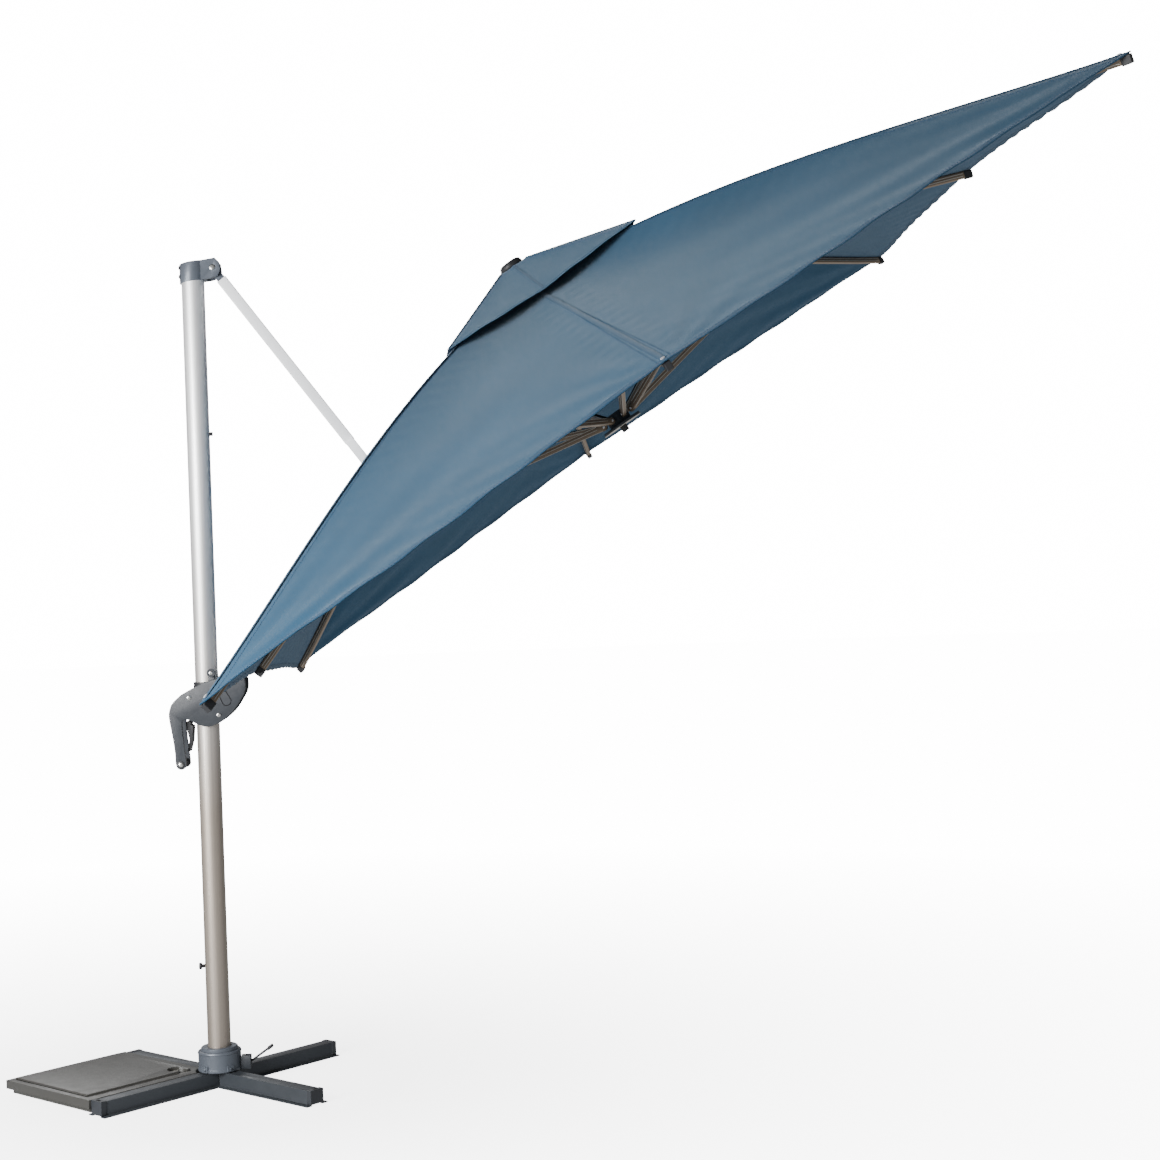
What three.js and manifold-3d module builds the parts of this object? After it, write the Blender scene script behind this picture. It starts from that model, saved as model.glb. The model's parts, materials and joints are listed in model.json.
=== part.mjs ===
// Cantilever parasol: cross base with one weight slab, turning mast, sliding handle, strut and boom,
// square folding canopy with eight ribs. Millimetres, +Z up. The origin is on the ground on the mast's
// axis and +X points along the boom, towards the canopy.
import * as THREE from 'three';
import { mergeVertices } from 'three/addons/utils/BufferGeometryUtils.js';
import Module from 'manifold-3d';

const wasm = await Module();
wasm.setup();

// ---- driving dimensions ----
const GAP = 0.3; // left between pieces that touch
const MAST = { radius: 38, wall: 2.5, foot: 56, top: 2724 };
const ARM = { length: 488, width: 50, height: 48, wall: 3, flange: 18, flangeThick: 4, hole: 30 };
const CENTRE_PLATE = { reach: 200, thick: 4 };
const SPIGOT = { radius: 28, wall: 4, top: 520 };
const BUSH = { radius: 35.2, lower: [58, 150], upper: [440, 510] };
const COLLAR = { radius: 72, bottom: 49, top: 128 };
const SLAB = { start: 27, end: 497, bottom: 6, step: 22, top: 50, panelTop: 57, wall: 4, inset: 16 };
const PEDAL = { x: 96, z: 66, lift: THREE.MathUtils.degToRad(34), barrel: 7, gap: 8, rod: 82, tread: 30 };
const PEDAL_BLOCK = { from: 64, to: 104, width: 38, top: 92 };
const CAP = { radius: 43, cheek: 31, slot: 16, pin: 6 };
const STOP_BOLT = { radius: 7, length: 10, z: 2170 };
const STOW_KNOB = { radius: 11, thick: 9, stem: 6, stemLength: 12, z: 395 };
const SLIDER = { plateInner: 44, plateThick: 14, linerTop: 1342, linerBottom: 1204 };
const GRIP = { x: -86, z: 1072, radius: 15 };
const ROLLER = { x: 23, z: 1372, radius: 14, width: 8 };
const TRIGGER = { x: -62, z: 1206, barrel: 9, width: 60 };
const BOOM_PIN = 7; // radius
const BOOM_FOOT = { x: 86, z: 1322 }; // pivot of the boom in the slider
const BOOM = { height: 40, width: 50, wall: 2.5, foot: 62, plug: 50, tongue: 42, eye: 20 };
const STRUT_TOP = { x: 69, z: 2724 }; // pivot of the strut in the mast cap
const STRUT = {
  height: 36, width: 28, wall: 2.5, start: 46, plug: 44, eye: 17, yoke: 150, yokeBar: 30, cheek: 6,
};
const JOINT_AT = 855; // distance of the strut's lower pivot from the boom's foot
const APEX = { x: 1072, z: 2702 }; // top of the canopy, under the finial
const TILT = THREE.MathUtils.degToRad(33.15); // the canopy's outer side stands this much higher
const CANOPY = { half: 1500, crown: -60, midDrop: 558, cornerDrop: 595, sag: 14, thick: 1.5, rows: 10 };
const VENT = { half: 370, opening: 170, top: -2, flat: 50, edge: -160, innerEdge: -126, corner: -145 };
const RIBS = 8;
const RIB = { width: 16, height: 26, wall: 1.3, pivotR: 60, pivotZ: -100, below: 17, short: 12 };
const BOW = { rise: 58, power: 1.5, peak: 0.4 * 0.6 ** 1.5, ribShare: 0.93, steps: 12 }; // of a corner rib
const RUNNER = { z: -620, travel: 1420 };
const STRETCHER = { width: 12, height: 24, wall: 1.3, offset: 16 };
const HUB = { core: 41, disc: 72, discTop: -69, discBottom: -80, bottom: -130, saddle: 34 };
const RUNNER_KNOB = { radius: 13, length: 22 };
const FINIAL = { radius: 42, top: 22 };
const FOLDED = THREE.MathUtils.degToRad(86); // slope of a folded rib

// ---- finishes ----
const finish = (color, roughness, metalness) => ({ color, roughness, metalness });
const ANODISED = finish(0xb9b2a8, 0.35, 0.9);
const ANTHRACITE = finish(0x50565f, 0.55, 0.3);
const BLACK = finish(0x1c1d1f, 0.6, 0.0);
const PALE = finish(0xe6e7ea, 0.45, 0.3);
const TAUPE = finish(0x8a7d6e, 0.45, 0.6);
const SLAB_GREY = finish(0x4b4b48, 0.8, 0.0);
const CONCRETE = finish(0x8d8b86, 0.95, 0.0);
const STEEL = finish(0xc9c9c6, 0.3, 1.0);
const FABRIC = finish(0x3f6a8c, 0.9, 0.0);

// ---- solids ----
function solid(geometry) {
  const bare = geometry.clone();
  bare.deleteAttribute('normal');
  bare.deleteAttribute('uv');
  const merged = mergeVertices(bare, 1e-4);
  return new wasm.Manifold(new wasm.Mesh({
    numProp: 3,
    vertProperties: Float32Array.from(merged.attributes.position.array),
    triVerts: Uint32Array.from(merged.index.array),
  }));
}

function geometryOf(body) {
  const mesh = body.getMesh();
  const geometry = new THREE.BufferGeometry();
  geometry.setAttribute('position', new THREE.BufferAttribute(mesh.vertProperties, 3));
  geometry.setIndex(new THREE.BufferAttribute(mesh.triVerts, 1));
  geometry.computeVertexNormals();
  return geometry;
}

const cut = (base, ...tools) => tools.reduce((rest, tool) => rest.subtract(solid(tool)), base);
const join = (...parts) => parts.map(solid).reduce((sum, part) => sum.add(part));

function box(x0, x1, y0, y1, z0, z1) {
  return new THREE.BoxGeometry(x1 - x0, y1 - y0, z1 - z0)
    .translate((x0 + x1) / 2, (y0 + y1) / 2, (z0 + z1) / 2);
}

/** A round bar standing on z0, with its axis at (x, y). */
function post(radius, z0, z1, x = 0, y = 0, sides = 36) {
  return new THREE.CylinderGeometry(radius, radius, z1 - z0, sides)
    .rotateX(Math.PI / 2)
    .translate(x, y, (z0 + z1) / 2);
}

/** A round bar along Y, from y0 to y1, with its axis at (x, z). */
function crossBar(radius, y0, y1, x, z, sides = 24) {
  return new THREE.CylinderGeometry(radius, radius, y1 - y0, sides).translate(x, (y0 + y1) / 2, z);
}

/** A round bar along X, with its middle at (x, z). */
function lyingPost(radius, length, x, z) {
  return new THREE.CylinderGeometry(radius, radius, length, 24).rotateZ(Math.PI / 2).translate(x, 0, z);
}

/** A ring turned round Z from points [radius, z] that run round its section. */
function turned(points, sides = 48) {
  const closed = [...points, points[0]].map(([r, z]) => new THREE.Vector2(r, z));
  return new THREE.LatheGeometry(closed, sides).rotateX(Math.PI / 2);
}

const sleeve = (outer, inner, z0, z1, sides = 48) =>
  turned([[inner, z0], [outer, z0], [outer, z1], [inner, z1]], sides);

/** An outline of [x, z] points, extruded along Y from y0 to y1. */
function sidePlate(outline, y0, y1) {
  const shape = new THREE.Shape(outline.map(([x, z]) => new THREE.Vector2(x, z)));
  return new THREE.ExtrudeGeometry(shape, { depth: y1 - y0, bevelEnabled: false })
    .rotateX(Math.PI / 2)
    .translate(0, y1, 0);
}

/** A bar of rectangular section along +X from x0 to x1, with rounded long edges. */
function bar(x0, x1, width, height, round = 4, steps = 1) {
  const w = width / 2;
  const h = height / 2;
  const shape = new THREE.Shape();
  shape.moveTo(w, h - round);
  shape.absarc(w - round, h - round, round, 0, Math.PI / 2);
  shape.absarc(-w + round, h - round, round, Math.PI / 2, Math.PI);
  shape.absarc(-w + round, -h + round, round, Math.PI, 1.5 * Math.PI);
  shape.absarc(w - round, -h + round, round, 1.5 * Math.PI, 2 * Math.PI);
  const options = { depth: x1 - x0, steps, bevelEnabled: false, curveSegments: 2 };
  return new THREE.ExtrudeGeometry(shape, options)
    .rotateX(Math.PI / 2)
    .rotateZ(Math.PI / 2)
    .translate(x0, 0, 0);
}

/** A closed sheet: at(u, v) gives the top point for u and v from 0 to 1, thick is measured down Z. */
function sheet(across, along, thick, at) {
  const points = [];
  const faces = [];
  const row = along + 1;
  const layer = (across + 1) * row;
  for (const drop of [0, thick]) {
    for (let i = 0; i <= across; i += 1) {
      for (let j = 0; j <= along; j += 1) {
        const [x, y, z] = at(i / across, j / along);
        points.push(x, y, z - drop);
      }
    }
  }
  const quad = (a, b, c, d) => faces.push(a, b, c, a, c, d);
  for (let i = 0; i < across; i += 1) {
    for (let j = 0; j < along; j += 1) {
      const a = i * row + j;
      quad(a, a + row, a + row + 1, a + 1);
      quad(a + layer, a + layer + 1, a + layer + row + 1, a + layer + row);
    }
  }
  const rim = (a, b) => quad(a, a + layer, b + layer, b);
  for (let i = 0; i < across; i += 1) {
    rim(i * row, (i + 1) * row);
    rim((i + 1) * row + along, i * row + along);
  }
  for (let j = 0; j < along; j += 1) {
    rim(j + 1, j);
    rim(across * row + j, across * row + j + 1);
  }
  const geometry = new THREE.BufferGeometry();
  geometry.setAttribute('position', new THREE.Float32BufferAttribute(points, 3));
  geometry.setIndex(faces);
  geometry.computeVertexNormals();
  return geometry;
}

function add(parent, name, geometry, look) {
  const mesh = new THREE.Mesh(geometry, new THREE.MeshStandardMaterial(look));
  mesh.name = name;
  parent.add(mesh);
  return mesh;
}

const addSolid = (parent, name, body, look) => add(parent, name, geometryOf(body), look);

// ---- base ----
/** One arm of the cross: an inverted channel with a flange along each side, mitred at the middle. */
function armSolid() {
  const half = ARM.width / 2;
  const outer = half + ARM.flange;
  const section = [
    [-outer, 0], [-half + ARM.wall, 0], [-half + ARM.wall, ARM.height - ARM.wall],
    [half - ARM.wall, ARM.height - ARM.wall], [half - ARM.wall, 0], [outer, 0],
    [outer, ARM.flangeThick], [half, ARM.flangeThick], [half, ARM.height],
    [-half, ARM.height], [-half, ARM.flangeThick], [-outer, ARM.flangeThick],
  ];
  const beam = sidePlate(section, 0, ARM.length).rotateZ(-Math.PI / 2);
  const gap = 0.5;
  const far = 700;
  const miter = sidePlate([[gap, -1], [far, -1], [far, 80], [gap, 80]], -far, far);
  const left = miter.clone().rotateZ(Math.PI / 4);
  const right = miter.clone().rotateZ(-Math.PI / 4);
  return solid(beam).intersect(solid(left)).intersect(solid(right)).subtract(solid(post(ARM.hole, -1, 80)));
}

function addBase(parent) {
  for (let i = 0; i < 4; i += 1) {
    const arm = addSolid(parent, `base_arm_${i + 1}`, armSolid(), ANTHRACITE);
    arm.rotation.z = Math.PI / 4 + i * Math.PI / 2;
  }
  const { reach, thick } = CENTRE_PLATE;
  const half = ARM.width / 2 - ARM.wall - 1;
  const plate = join(box(-reach, reach, -half, half, 0, thick), box(-half, half, -reach, reach, 0, thick));
  addSolid(parent, 'centre_plate', plate, ANTHRACITE).rotation.z = Math.PI / 4;
  add(parent, 'spigot', sleeve(SPIGOT.radius, SPIGOT.radius - SPIGOT.wall, thick + GAP, SPIGOT.top), STEEL);
  add(parent, 'lower_bush', sleeve(BUSH.radius, SPIGOT.radius + GAP, ...BUSH.lower), BLACK);
  add(parent, 'upper_bush', sleeve(BUSH.radius, SPIGOT.radius + GAP, ...BUSH.upper), BLACK);
  addCollar(parent);
  addSlab(parent);
}

/** The ring that the mast turns in, with a groove near its top and the pedal's block on +X. */
function addCollar(parent) {
  const { radius, bottom, top } = COLLAR;
  const inner = MAST.radius + 1;
  const ring = turned([
    [inner, bottom], [radius, bottom], [radius, top - 14], [radius - 5, top - 5],
    [radius - 9, top - 5], [radius - 10, top - 8], [radius - 12, top - 8], [radius - 13, top],
    [inner, top],
  ], 64);
  addSolid(parent, 'collar', solid(ring), ANTHRACITE);
  const { from, to, width, top: blockTop } = PEDAL_BLOCK;
  const block = cut(
    solid(box(from, to, -width / 2, width / 2, bottom, blockTop)),
    post(radius + GAP, bottom - 1, blockTop + 1, 0, 0, 64),
    box(PEDAL.x - PEDAL.barrel - 3, to + 6, -PEDAL.gap, PEDAL.gap, bottom - 1, blockTop + 1),
  );
  addSolid(parent, 'pedal_block', block, ANTHRACITE);
}

/** The weight slab lies between the two arms away from the canopy: a plastic shell round concrete. */
function addSlab(parent) {
  const { start, end, bottom, step, top, panelTop, wall, inset } = SLAB;
  const collar = COLLAR.radius + 8;
  const panelFrom = start + 42;
  const panelTo = end - 24;
  const shell = join(
    box(start, end, start, end, step, top),
    box(start + inset, end - inset, start + inset, end - inset, bottom, step + 1),
    box(panelFrom, panelTo, panelFrom, panelTo, top - 1, panelTop),
  );
  const notch = post(34, top - 30, 90, end / 5, end / 5, 32);
  const ceiling = top - wall;
  const cave = box(
    start + inset + wall, end - inset - wall, start + inset + wall, end - inset - wall, bottom - 1, ceiling,
  );
  const clear = post(collar, -1, 90, 0, 0, 48);
  const solidCorner = collar + 66;
  const hollow = solid(cave).subtract(solid(post(solidCorner, bottom - 2, ceiling + 1, 0, 0, 48)));
  const body = cut(shell, clear, notch).subtract(hollow);
  addSolid(parent, 'slab_shell', body, SLAB_GREY).rotation.z = 0.75 * Math.PI;
  const inside = start + inset + wall + GAP;
  const outside = end - inset - wall - GAP;
  const fill = cut(
    solid(box(inside, outside, inside, outside, bottom, ceiling - 0.5)),
    post(solidCorner + GAP, bottom - 2, ceiling + 1, 0, 0, 48),
  );
  addSolid(parent, 'slab_fill', fill, CONCRETE).rotation.z = 0.75 * Math.PI;
}

/** The foot lever that unlocks the mast: a rod with a tread at its end. */
function addPedal(parent) {
  const lever = new THREE.Group();
  lever.position.set(PEDAL.x, 0, PEDAL.z);
  lever.rotation.y = -PEDAL.lift;
  parent.add(lever);
  const tread = join(
    crossBar(PEDAL.barrel, 1 - PEDAL.gap, PEDAL.gap - 1, 0, 0),
    bar(0, PEDAL.rod, 9, 7, 2),
    bar(PEDAL.rod - 4, PEDAL.rod + 14, PEDAL.tread, 9, 3),
  );
  addSolid(lever, 'pedal_lever', tread, BLACK);
}

// ---- mast ----
function addMast(parent) {
  const tube = sleeve(MAST.radius, MAST.radius - MAST.wall, MAST.foot, MAST.top, 56);
  add(parent, 'mast_tube', tube, ANODISED);
  const side = sidePlate([
    [-46, 2674], [62, 2688], [86, 2696], [95, 2716], [92, 2742], [78, 2757], [-46, 2738],
  ], -50, 50);
  const low = MAST.top - 124;
  const high = MAST.top + 76;
  const plan = join(post(CAP.radius, low, high, 0, 0, 48), box(0, 100, -CAP.cheek, CAP.cheek, low, high));
  const cap = cut(
    plan.intersect(solid(side)),
    post(MAST.radius + GAP, low, MAST.top + GAP, 0, 0, 56),
    box(48, 120, -CAP.slot, CAP.slot, low, high),
    crossBar(CAP.pin + GAP, -60, 60, STRUT_TOP.x, STRUT_TOP.z),
  );
  addSolid(parent, 'mast_cap', cap, ANTHRACITE);
  const pinHalf = CAP.cheek + 3;
  add(parent, 'strut_pin', crossBar(CAP.pin, -pinHalf, pinHalf, STRUT_TOP.x, STRUT_TOP.z), STEEL);
  const boltMiddle = MAST.radius + STOP_BOLT.length / 2 + GAP;
  add(parent, 'stop_bolt', lyingPost(STOP_BOLT.radius, STOP_BOLT.length, boltMiddle, STOP_BOLT.z), BLACK);
  const stemMiddle = -MAST.radius - STOW_KNOB.stemLength / 2 - GAP;
  const knob = join(
    lyingPost(STOW_KNOB.stem, STOW_KNOB.stemLength, stemMiddle, STOW_KNOB.z),
    lyingPost(STOW_KNOB.radius, STOW_KNOB.thick, -MAST.radius - 15, STOW_KNOB.z),
  );
  addSolid(parent, 'stow_knob', knob, BLACK);
}

// ---- sliding handle ----
/** Outline of a handle plate: a body round the boom's foot and a hook down to the grip. */
function plateOutline() {
  const points = [
    [-80, 1303], [-32, 1328], [28, 1349], [80, 1357], [124, 1357], [133, 1340], [131, 1308],
    [114, 1277], [92, 1245], [64, 1220], [37, 1203], [5, 1194], [-27, 1203], [-50, 1216],
    [-66, 1222], [-77, 1216], [-79, 1196], [-74, 1130], [-69, 1084], [-70, 1064], [-83, 1055],
    [-98, 1060], [-104, 1078], [-105, 1110], [-111, 1162], [-119, 1212], [-121, 1242], [-110, 1275],
  ].map(([x, z]) => new THREE.Vector2(x, z));
  const outline = new THREE.SplineCurve([...points, points[0]]);
  return outline.getPoints(72).slice(0, -1).map((point) => [point.x, point.y]);
}

function addSlider(parent) {
  const { plateInner, plateThick, linerTop, linerBottom } = SLIDER;
  const outer = plateInner + plateThick;
  const neck = [[12, 1340], [34, 1340], [32, 1376], [23, 1384], [14, 1376]];
  for (const [name, y0, y1] of [['right', -outer, -plateInner], ['left', plateInner, outer]]) {
    const plate = join(sidePlate(plateOutline(), y0, y1), sidePlate(neck, y0 + 3, y1 - 3));
    addSolid(parent, `handle_plate_${name}`, plate, ANTHRACITE);
  }
  add(parent, 'slide_liner', sleeve(plateInner - GAP, MAST.radius + GAP, linerBottom, linerTop, 56), BLACK);
  const inner = plateInner - GAP;
  add(parent, 'grip_bar', crossBar(GRIP.radius, -inner, inner, GRIP.x, GRIP.z), BLACK);
  add(parent, 'boom_pin', crossBar(BOOM_PIN, -inner, inner, BOOM_FOOT.x, BOOM_FOOT.z), STEEL);
  const roller = crossBar(ROLLER.radius, -outer - ROLLER.width, -outer - GAP, ROLLER.x, ROLLER.z);
  add(parent, 'guide_roller', roller, BLACK);
}

/** The release trigger hangs in the hook above the grip; the fingers pull it to the grip. */
function addTrigger(parent) {
  const outline = [[-70, 1206], [-46, 1198], [-50, 1150], [-60, 1112], [-66, 1114], [-60, 1152]];
  const half = TRIGGER.width / 2;
  const blade = join(
    sidePlate(outline, -half, half),
    crossBar(TRIGGER.barrel, -half, half, TRIGGER.x, TRIGGER.z),
  );
  addSolid(parent, 'release_trigger', blade, BLACK);
}

// ---- boom and strut ----
const CROWN_PIN = new THREE.Vector3(0, 0, -28); // upper end of the boom's axis, in the canopy's frame

function boomLine() {
  const foot = new THREE.Vector3(BOOM_FOOT.x, 0, BOOM_FOOT.z);
  const end = CROWN_PIN.clone()
    .applyAxisAngle(new THREE.Vector3(0, 1, 0), -TILT)
    .add(new THREE.Vector3(APEX.x, 0, APEX.z));
  const along = end.clone().sub(foot);
  return { foot, length: along.length(), slope: Math.atan2(along.z, along.x) };
}

/** A bar along +X, bent so that each of its points rises by riseAt(x). */
function bent(geometry, riseAt) {
  const place = geometry.getAttribute('position');
  for (let i = 0; i < place.count; i += 1) {
    place.setZ(i, place.getZ(i) + riseAt(place.getX(i)));
  }
  return geometry;
}

/** A hollow bar along +X: the outer bar less its bore, open at both ends. */
function hollowBar(x0, x1, { width, height, wall }, steps = 1, riseAt = () => 0) {
  const bore = bar(x0 - 1, x1 + 1, width - 2 * wall, height - 2 * wall, 2.5, steps);
  return cut(solid(bent(bar(x0, x1, width, height, 4, steps), riseAt)), bent(bore, riseAt));
}

/** The part of an end casting that sits inside a hollow bar, with 0.5 mm all round. */
const plug = (x0, x1, { width, height, wall }) => bar(x0, x1, width - 2 * wall - 1, height - 2 * wall - 1, 2);

function addBoom(parent) {
  const { foot, length, slope } = boomLine();
  const group = new THREE.Group();
  group.position.copy(foot);
  group.rotation.y = -slope;
  parent.add(group);
  const neck = BOOM.foot;
  const half = BOOM.tongue / 2;
  addSolid(group, 'boom_tube', hollowBar(neck, length, BOOM), PALE);
  const tongue = join(
    crossBar(BOOM.eye, -half, half, 0, 0, 36),
    box(0, neck - GAP, -half, half, 5 - BOOM.eye, BOOM.eye - 5),
    bar(neck - 10, neck - GAP, BOOM.width, BOOM.height),
    plug(neck - 5, neck + BOOM.plug, BOOM),
  );
  addSolid(group, 'boom_foot', cut(tongue, crossBar(BOOM_PIN + GAP, -60, 60, 0, 0)), ANTHRACITE);
}

function addStrut(parent) {
  const { foot, slope } = boomLine();
  const low = new THREE.Vector3(
    foot.x + JOINT_AT * Math.cos(slope), 0, foot.z + JOINT_AT * Math.sin(slope),
  );
  const top = new THREE.Vector3(STRUT_TOP.x, 0, STRUT_TOP.z);
  const along = low.clone().sub(top);
  const length = along.length();
  const group = new THREE.Group();
  group.position.copy(top);
  group.rotation.y = -Math.atan2(along.z, along.x);
  parent.add(group);
  const tubeEnd = length - STRUT.yoke;
  addSolid(group, 'strut_tube', hollowBar(STRUT.start, tubeEnd, STRUT), PALE);
  const half = STRUT.width / 2;
  const eye = join(
    crossBar(STRUT.eye, -half, half, 0, 0, 36),
    box(0, STRUT.start - GAP, -half, half, -half, half),
    plug(STRUT.start - 6, STRUT.start + STRUT.plug, STRUT),
  );
  addSolid(group, 'strut_eye', cut(eye, crossBar(CAP.pin + GAP, -60, 60, 0, 0)), ANTHRACITE);
  const inside = BOOM.width / 2 + 1;
  const outside = inside + STRUT.cheek;
  const deep = 16;
  const cheekFrom = tubeEnd + STRUT.yokeBar - 10;
  const yoke = join(
    box(tubeEnd + GAP, tubeEnd + STRUT.yokeBar, -outside, outside, -deep, deep),
    plug(tubeEnd - STRUT.plug, tubeEnd + 5, STRUT),
    box(cheekFrom, length, inside, outside, -deep, deep),
    box(cheekFrom, length, -outside, -inside, -deep, deep),
    crossBar(deep, inside, outside, length, 0),
    crossBar(deep, -outside, -inside, length, 0),
  );
  addSolid(group, 'strut_yoke', yoke, PALE);
}

// ---- canopy ----
/** Where a ray from the crown at this angle meets the canopy's square edge, and how far it drops. */
function edgeAt(angle) {
  const x = Math.cos(angle);
  const y = Math.sin(angle);
  const scale = CANOPY.half / Math.max(Math.abs(x), Math.abs(y));
  const along = Math.min(Math.abs(x), Math.abs(y)) / Math.max(Math.abs(x), Math.abs(y));
  const drop = THREE.MathUtils.lerp(CANOPY.midDrop, CANOPY.cornerDrop, along);
  return { x: x * scale, y: y * scale, drop, near: along, sag: Math.sin(Math.PI * along) };
}

/** How far a bent corner rib rises above its chord, at a share of the way from pivot to tip. */
function bowAt(share) {
  const s = THREE.MathUtils.clamp(share, 0, 1);
  return BOW.rise * s * (1 - s) ** BOW.power / BOW.peak;
}

function canopyPoint(angle, t) {
  const edge = edgeAt(angle);
  const sag = CANOPY.sag * edge.sag * Math.sin(Math.PI * Math.min(1, t * 0.8 + 0.1));
  const pivotShare = RIB.pivotR / (CANOPY.half * Math.SQRT2);
  const bow = bowAt((t - pivotShare) / (1 - pivotShare)) * edge.near ** 2;
  return [edge.x * t, edge.y * t, CANOPY.crown - edge.drop * t - sag + bow];
}

/** One piece of the canopy, from the middle of a panel to the middle of the next, over one rib. */
function canopyPiece(middle) {
  const from = VENT.opening / CANOPY.half;
  const step = Math.PI / RIBS;
  return sheet(6, CANOPY.rows, CANOPY.thick, (u, v) => {
    const t = THREE.MathUtils.lerp(from, 1, v);
    const reach = Math.hypot(edgeAt(middle).x, edgeAt(middle).y) * t;
    const swing = (1 - 2 * u) * (step - GAP / reach);
    return canopyPoint(middle + swing, t);
  });
}

function ventHeight(x, y) {
  const reach = Math.max(Math.abs(x), Math.abs(y));
  const along = reach > 0 ? Math.min(Math.abs(x), Math.abs(y)) / reach : 0;
  const inner = x < 0 && Math.abs(x) >= Math.abs(y);
  const mid = inner ? VENT.innerEdge : VENT.edge;
  const edge = THREE.MathUtils.lerp(mid, VENT.corner, along);
  const t = Math.max(0, (reach - VENT.flat) / (VENT.half - VENT.flat));
  return VENT.top + (edge - VENT.top) * t;
}

function addCanopyHead(parent) {
  const { slope } = boomLine();
  const boomInCanopy = bar(-300, 0.8, BOOM.width + 2 * GAP, BOOM.height + 2 * GAP);
  boomInCanopy.rotateY(TILT - slope).translate(0, 0, CROWN_PIN.z);
  const head = cut(
    join(
      box(-58, 46, -HUB.saddle, HUB.saddle, HUB.discTop - 1, -30),
      box(-40, 46, -HUB.saddle, HUB.saddle, -40, -6),
      post(HUB.disc, HUB.discBottom, HUB.discTop, 0, 0, 48),
      post(HUB.core, HUB.bottom, HUB.discBottom + 1, 0, 0, 40),
    ),
    boomInCanopy,
  );
  addSolid(parent, 'canopy_head', head, ANTHRACITE);
  const cells = 14;
  const vent = sheet(cells, cells, CANOPY.thick, (u, v) => {
    const x = (2 * u - 1) * VENT.half;
    const y = (2 * v - 1) * VENT.half;
    return [x, y, ventHeight(x, y)];
  });
  add(parent, 'vent_canopy', vent, FABRIC);
  const { radius, top } = FINIAL;
  const outline = [[0, -1.5], [radius, -1.5], [radius, top - 8], [radius - 6, top], [0, top]];
  const profile = outline.map(([r, z]) => new THREE.Vector2(r, z));
  add(parent, 'finial', new THREE.LatheGeometry(profile, 40).rotateX(Math.PI / 2), BLACK);
}

/** Slope and length of the rib at this angle, from its pivot in the hub to its tip. */
function ribLine(angle) {
  const edge = edgeAt(angle);
  const reach = Math.hypot(edge.x, edge.y);
  const tip = reach - RIB.short;
  const fall = CANOPY.crown - edge.drop * tip / reach - RIB.below - RIB.pivotZ;
  return { slope: Math.atan2(-fall, tip - RIB.pivotR), length: Math.hypot(fall, tip - RIB.pivotR) };
}

/** Where a point of a rib lies from the rib's pivot, out and up, when the rib slopes down this much. */
function ribPoint(at, rise, slope) {
  return {
    out: at * Math.cos(slope) + rise * Math.sin(slope),
    up: rise * Math.cos(slope) - at * Math.sin(slope),
  };
}

/** How far along its rib a stretcher is fixed, so that it closes both open and folded. */
function stretcherFix(slope, riseAt) {
  const drop = RIB.pivotZ - RUNNER.z;
  const length = (at, lean, travel) => {
    const { out, up } = ribPoint(at, riseAt(at), lean);
    return Math.hypot(out, drop + travel + up);
  };
  const open = (at) => length(at, slope, 0);
  const shut = (at) => length(at, FOLDED, RUNNER.travel);
  let low = 300;
  let high = 1400;
  for (let i = 0; i < 50; i += 1) {
    const middle = (low + high) / 2;
    if (open(middle) < shut(middle)) low = middle;
    else high = middle;
  }
  return low;
}

function addRib(parent, number, angle) {
  const name = `${number + 1}`;
  const spoke = new THREE.Group();
  spoke.rotation.z = angle;
  parent.add(spoke);
  const { slope, length } = ribLine(angle);
  const corner = number % 2 === 1;
  const riseAt = (x) => (corner ? BOW.ribShare * bowAt(x / length) * Math.cos(slope) : 0);
  const rib = new THREE.Group();
  rib.position.set(RIB.pivotR, 0, RIB.pivotZ);
  rib.rotation.y = slope;
  spoke.add(rib);
  const steps = corner ? BOW.steps : 1;
  addSolid(rib, `rib_${name}`, hollowBar(-12, length, RIB, steps, riseAt), TAUPE);
  add(parent, `canopy_${name}`, canopyPiece(angle), FABRIC);
  const fix = stretcherFix(slope, riseAt);
  const { out: run, up } = ribPoint(fix, riseAt(fix), slope);
  const rise = RIB.pivotZ - RUNNER.z + up;
  const stretcher = new THREE.Group();
  stretcher.position.set(RIB.pivotR, STRETCHER.offset, RUNNER.z);
  stretcher.rotation.y = -Math.atan2(rise, run);
  spoke.add(stretcher);
  const reach = Math.hypot(rise, run);
  const eye = STRETCHER.height / 2;
  const arm = join(
    bar(0, reach - eye, STRETCHER.width, STRETCHER.height, 3),
    crossBar(eye, -STRETCHER.width / 2, STRETCHER.width / 2, 0, 0),
    bar(reach - eye - 1, reach, STRETCHER.width, 1.4 * eye, 2),
    crossBar(0.7 * eye, -STRETCHER.width / 2, STRETCHER.width / 2, reach, 0),
  );
  const side = STRETCHER.width / 2 - STRETCHER.wall;
  const channel = box(1.2 * eye, reach - 2 * eye, -side, side, STRETCHER.wall - eye, eye + 1);
  addSolid(stretcher, `stretcher_${name}`, cut(arm, channel), TAUPE);
}

function addRunner(parent) {
  const core = join(
    post(HUB.core, RUNNER.z - 28, RUNNER.z + 20, 0, 0, 40),
    post(HUB.disc, RUNNER.z - 32, RUNNER.z - 22, 0, 0, 48),
  );
  addSolid(parent, 'runner_hub', core, ANTHRACITE);
  const knobTop = RUNNER.z - 32 - GAP;
  const knob = post(RUNNER_KNOB.radius, knobTop - RUNNER_KNOB.length, knobTop, 0, 0, 28);
  add(parent, 'runner_knob', knob, BLACK);
}

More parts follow.
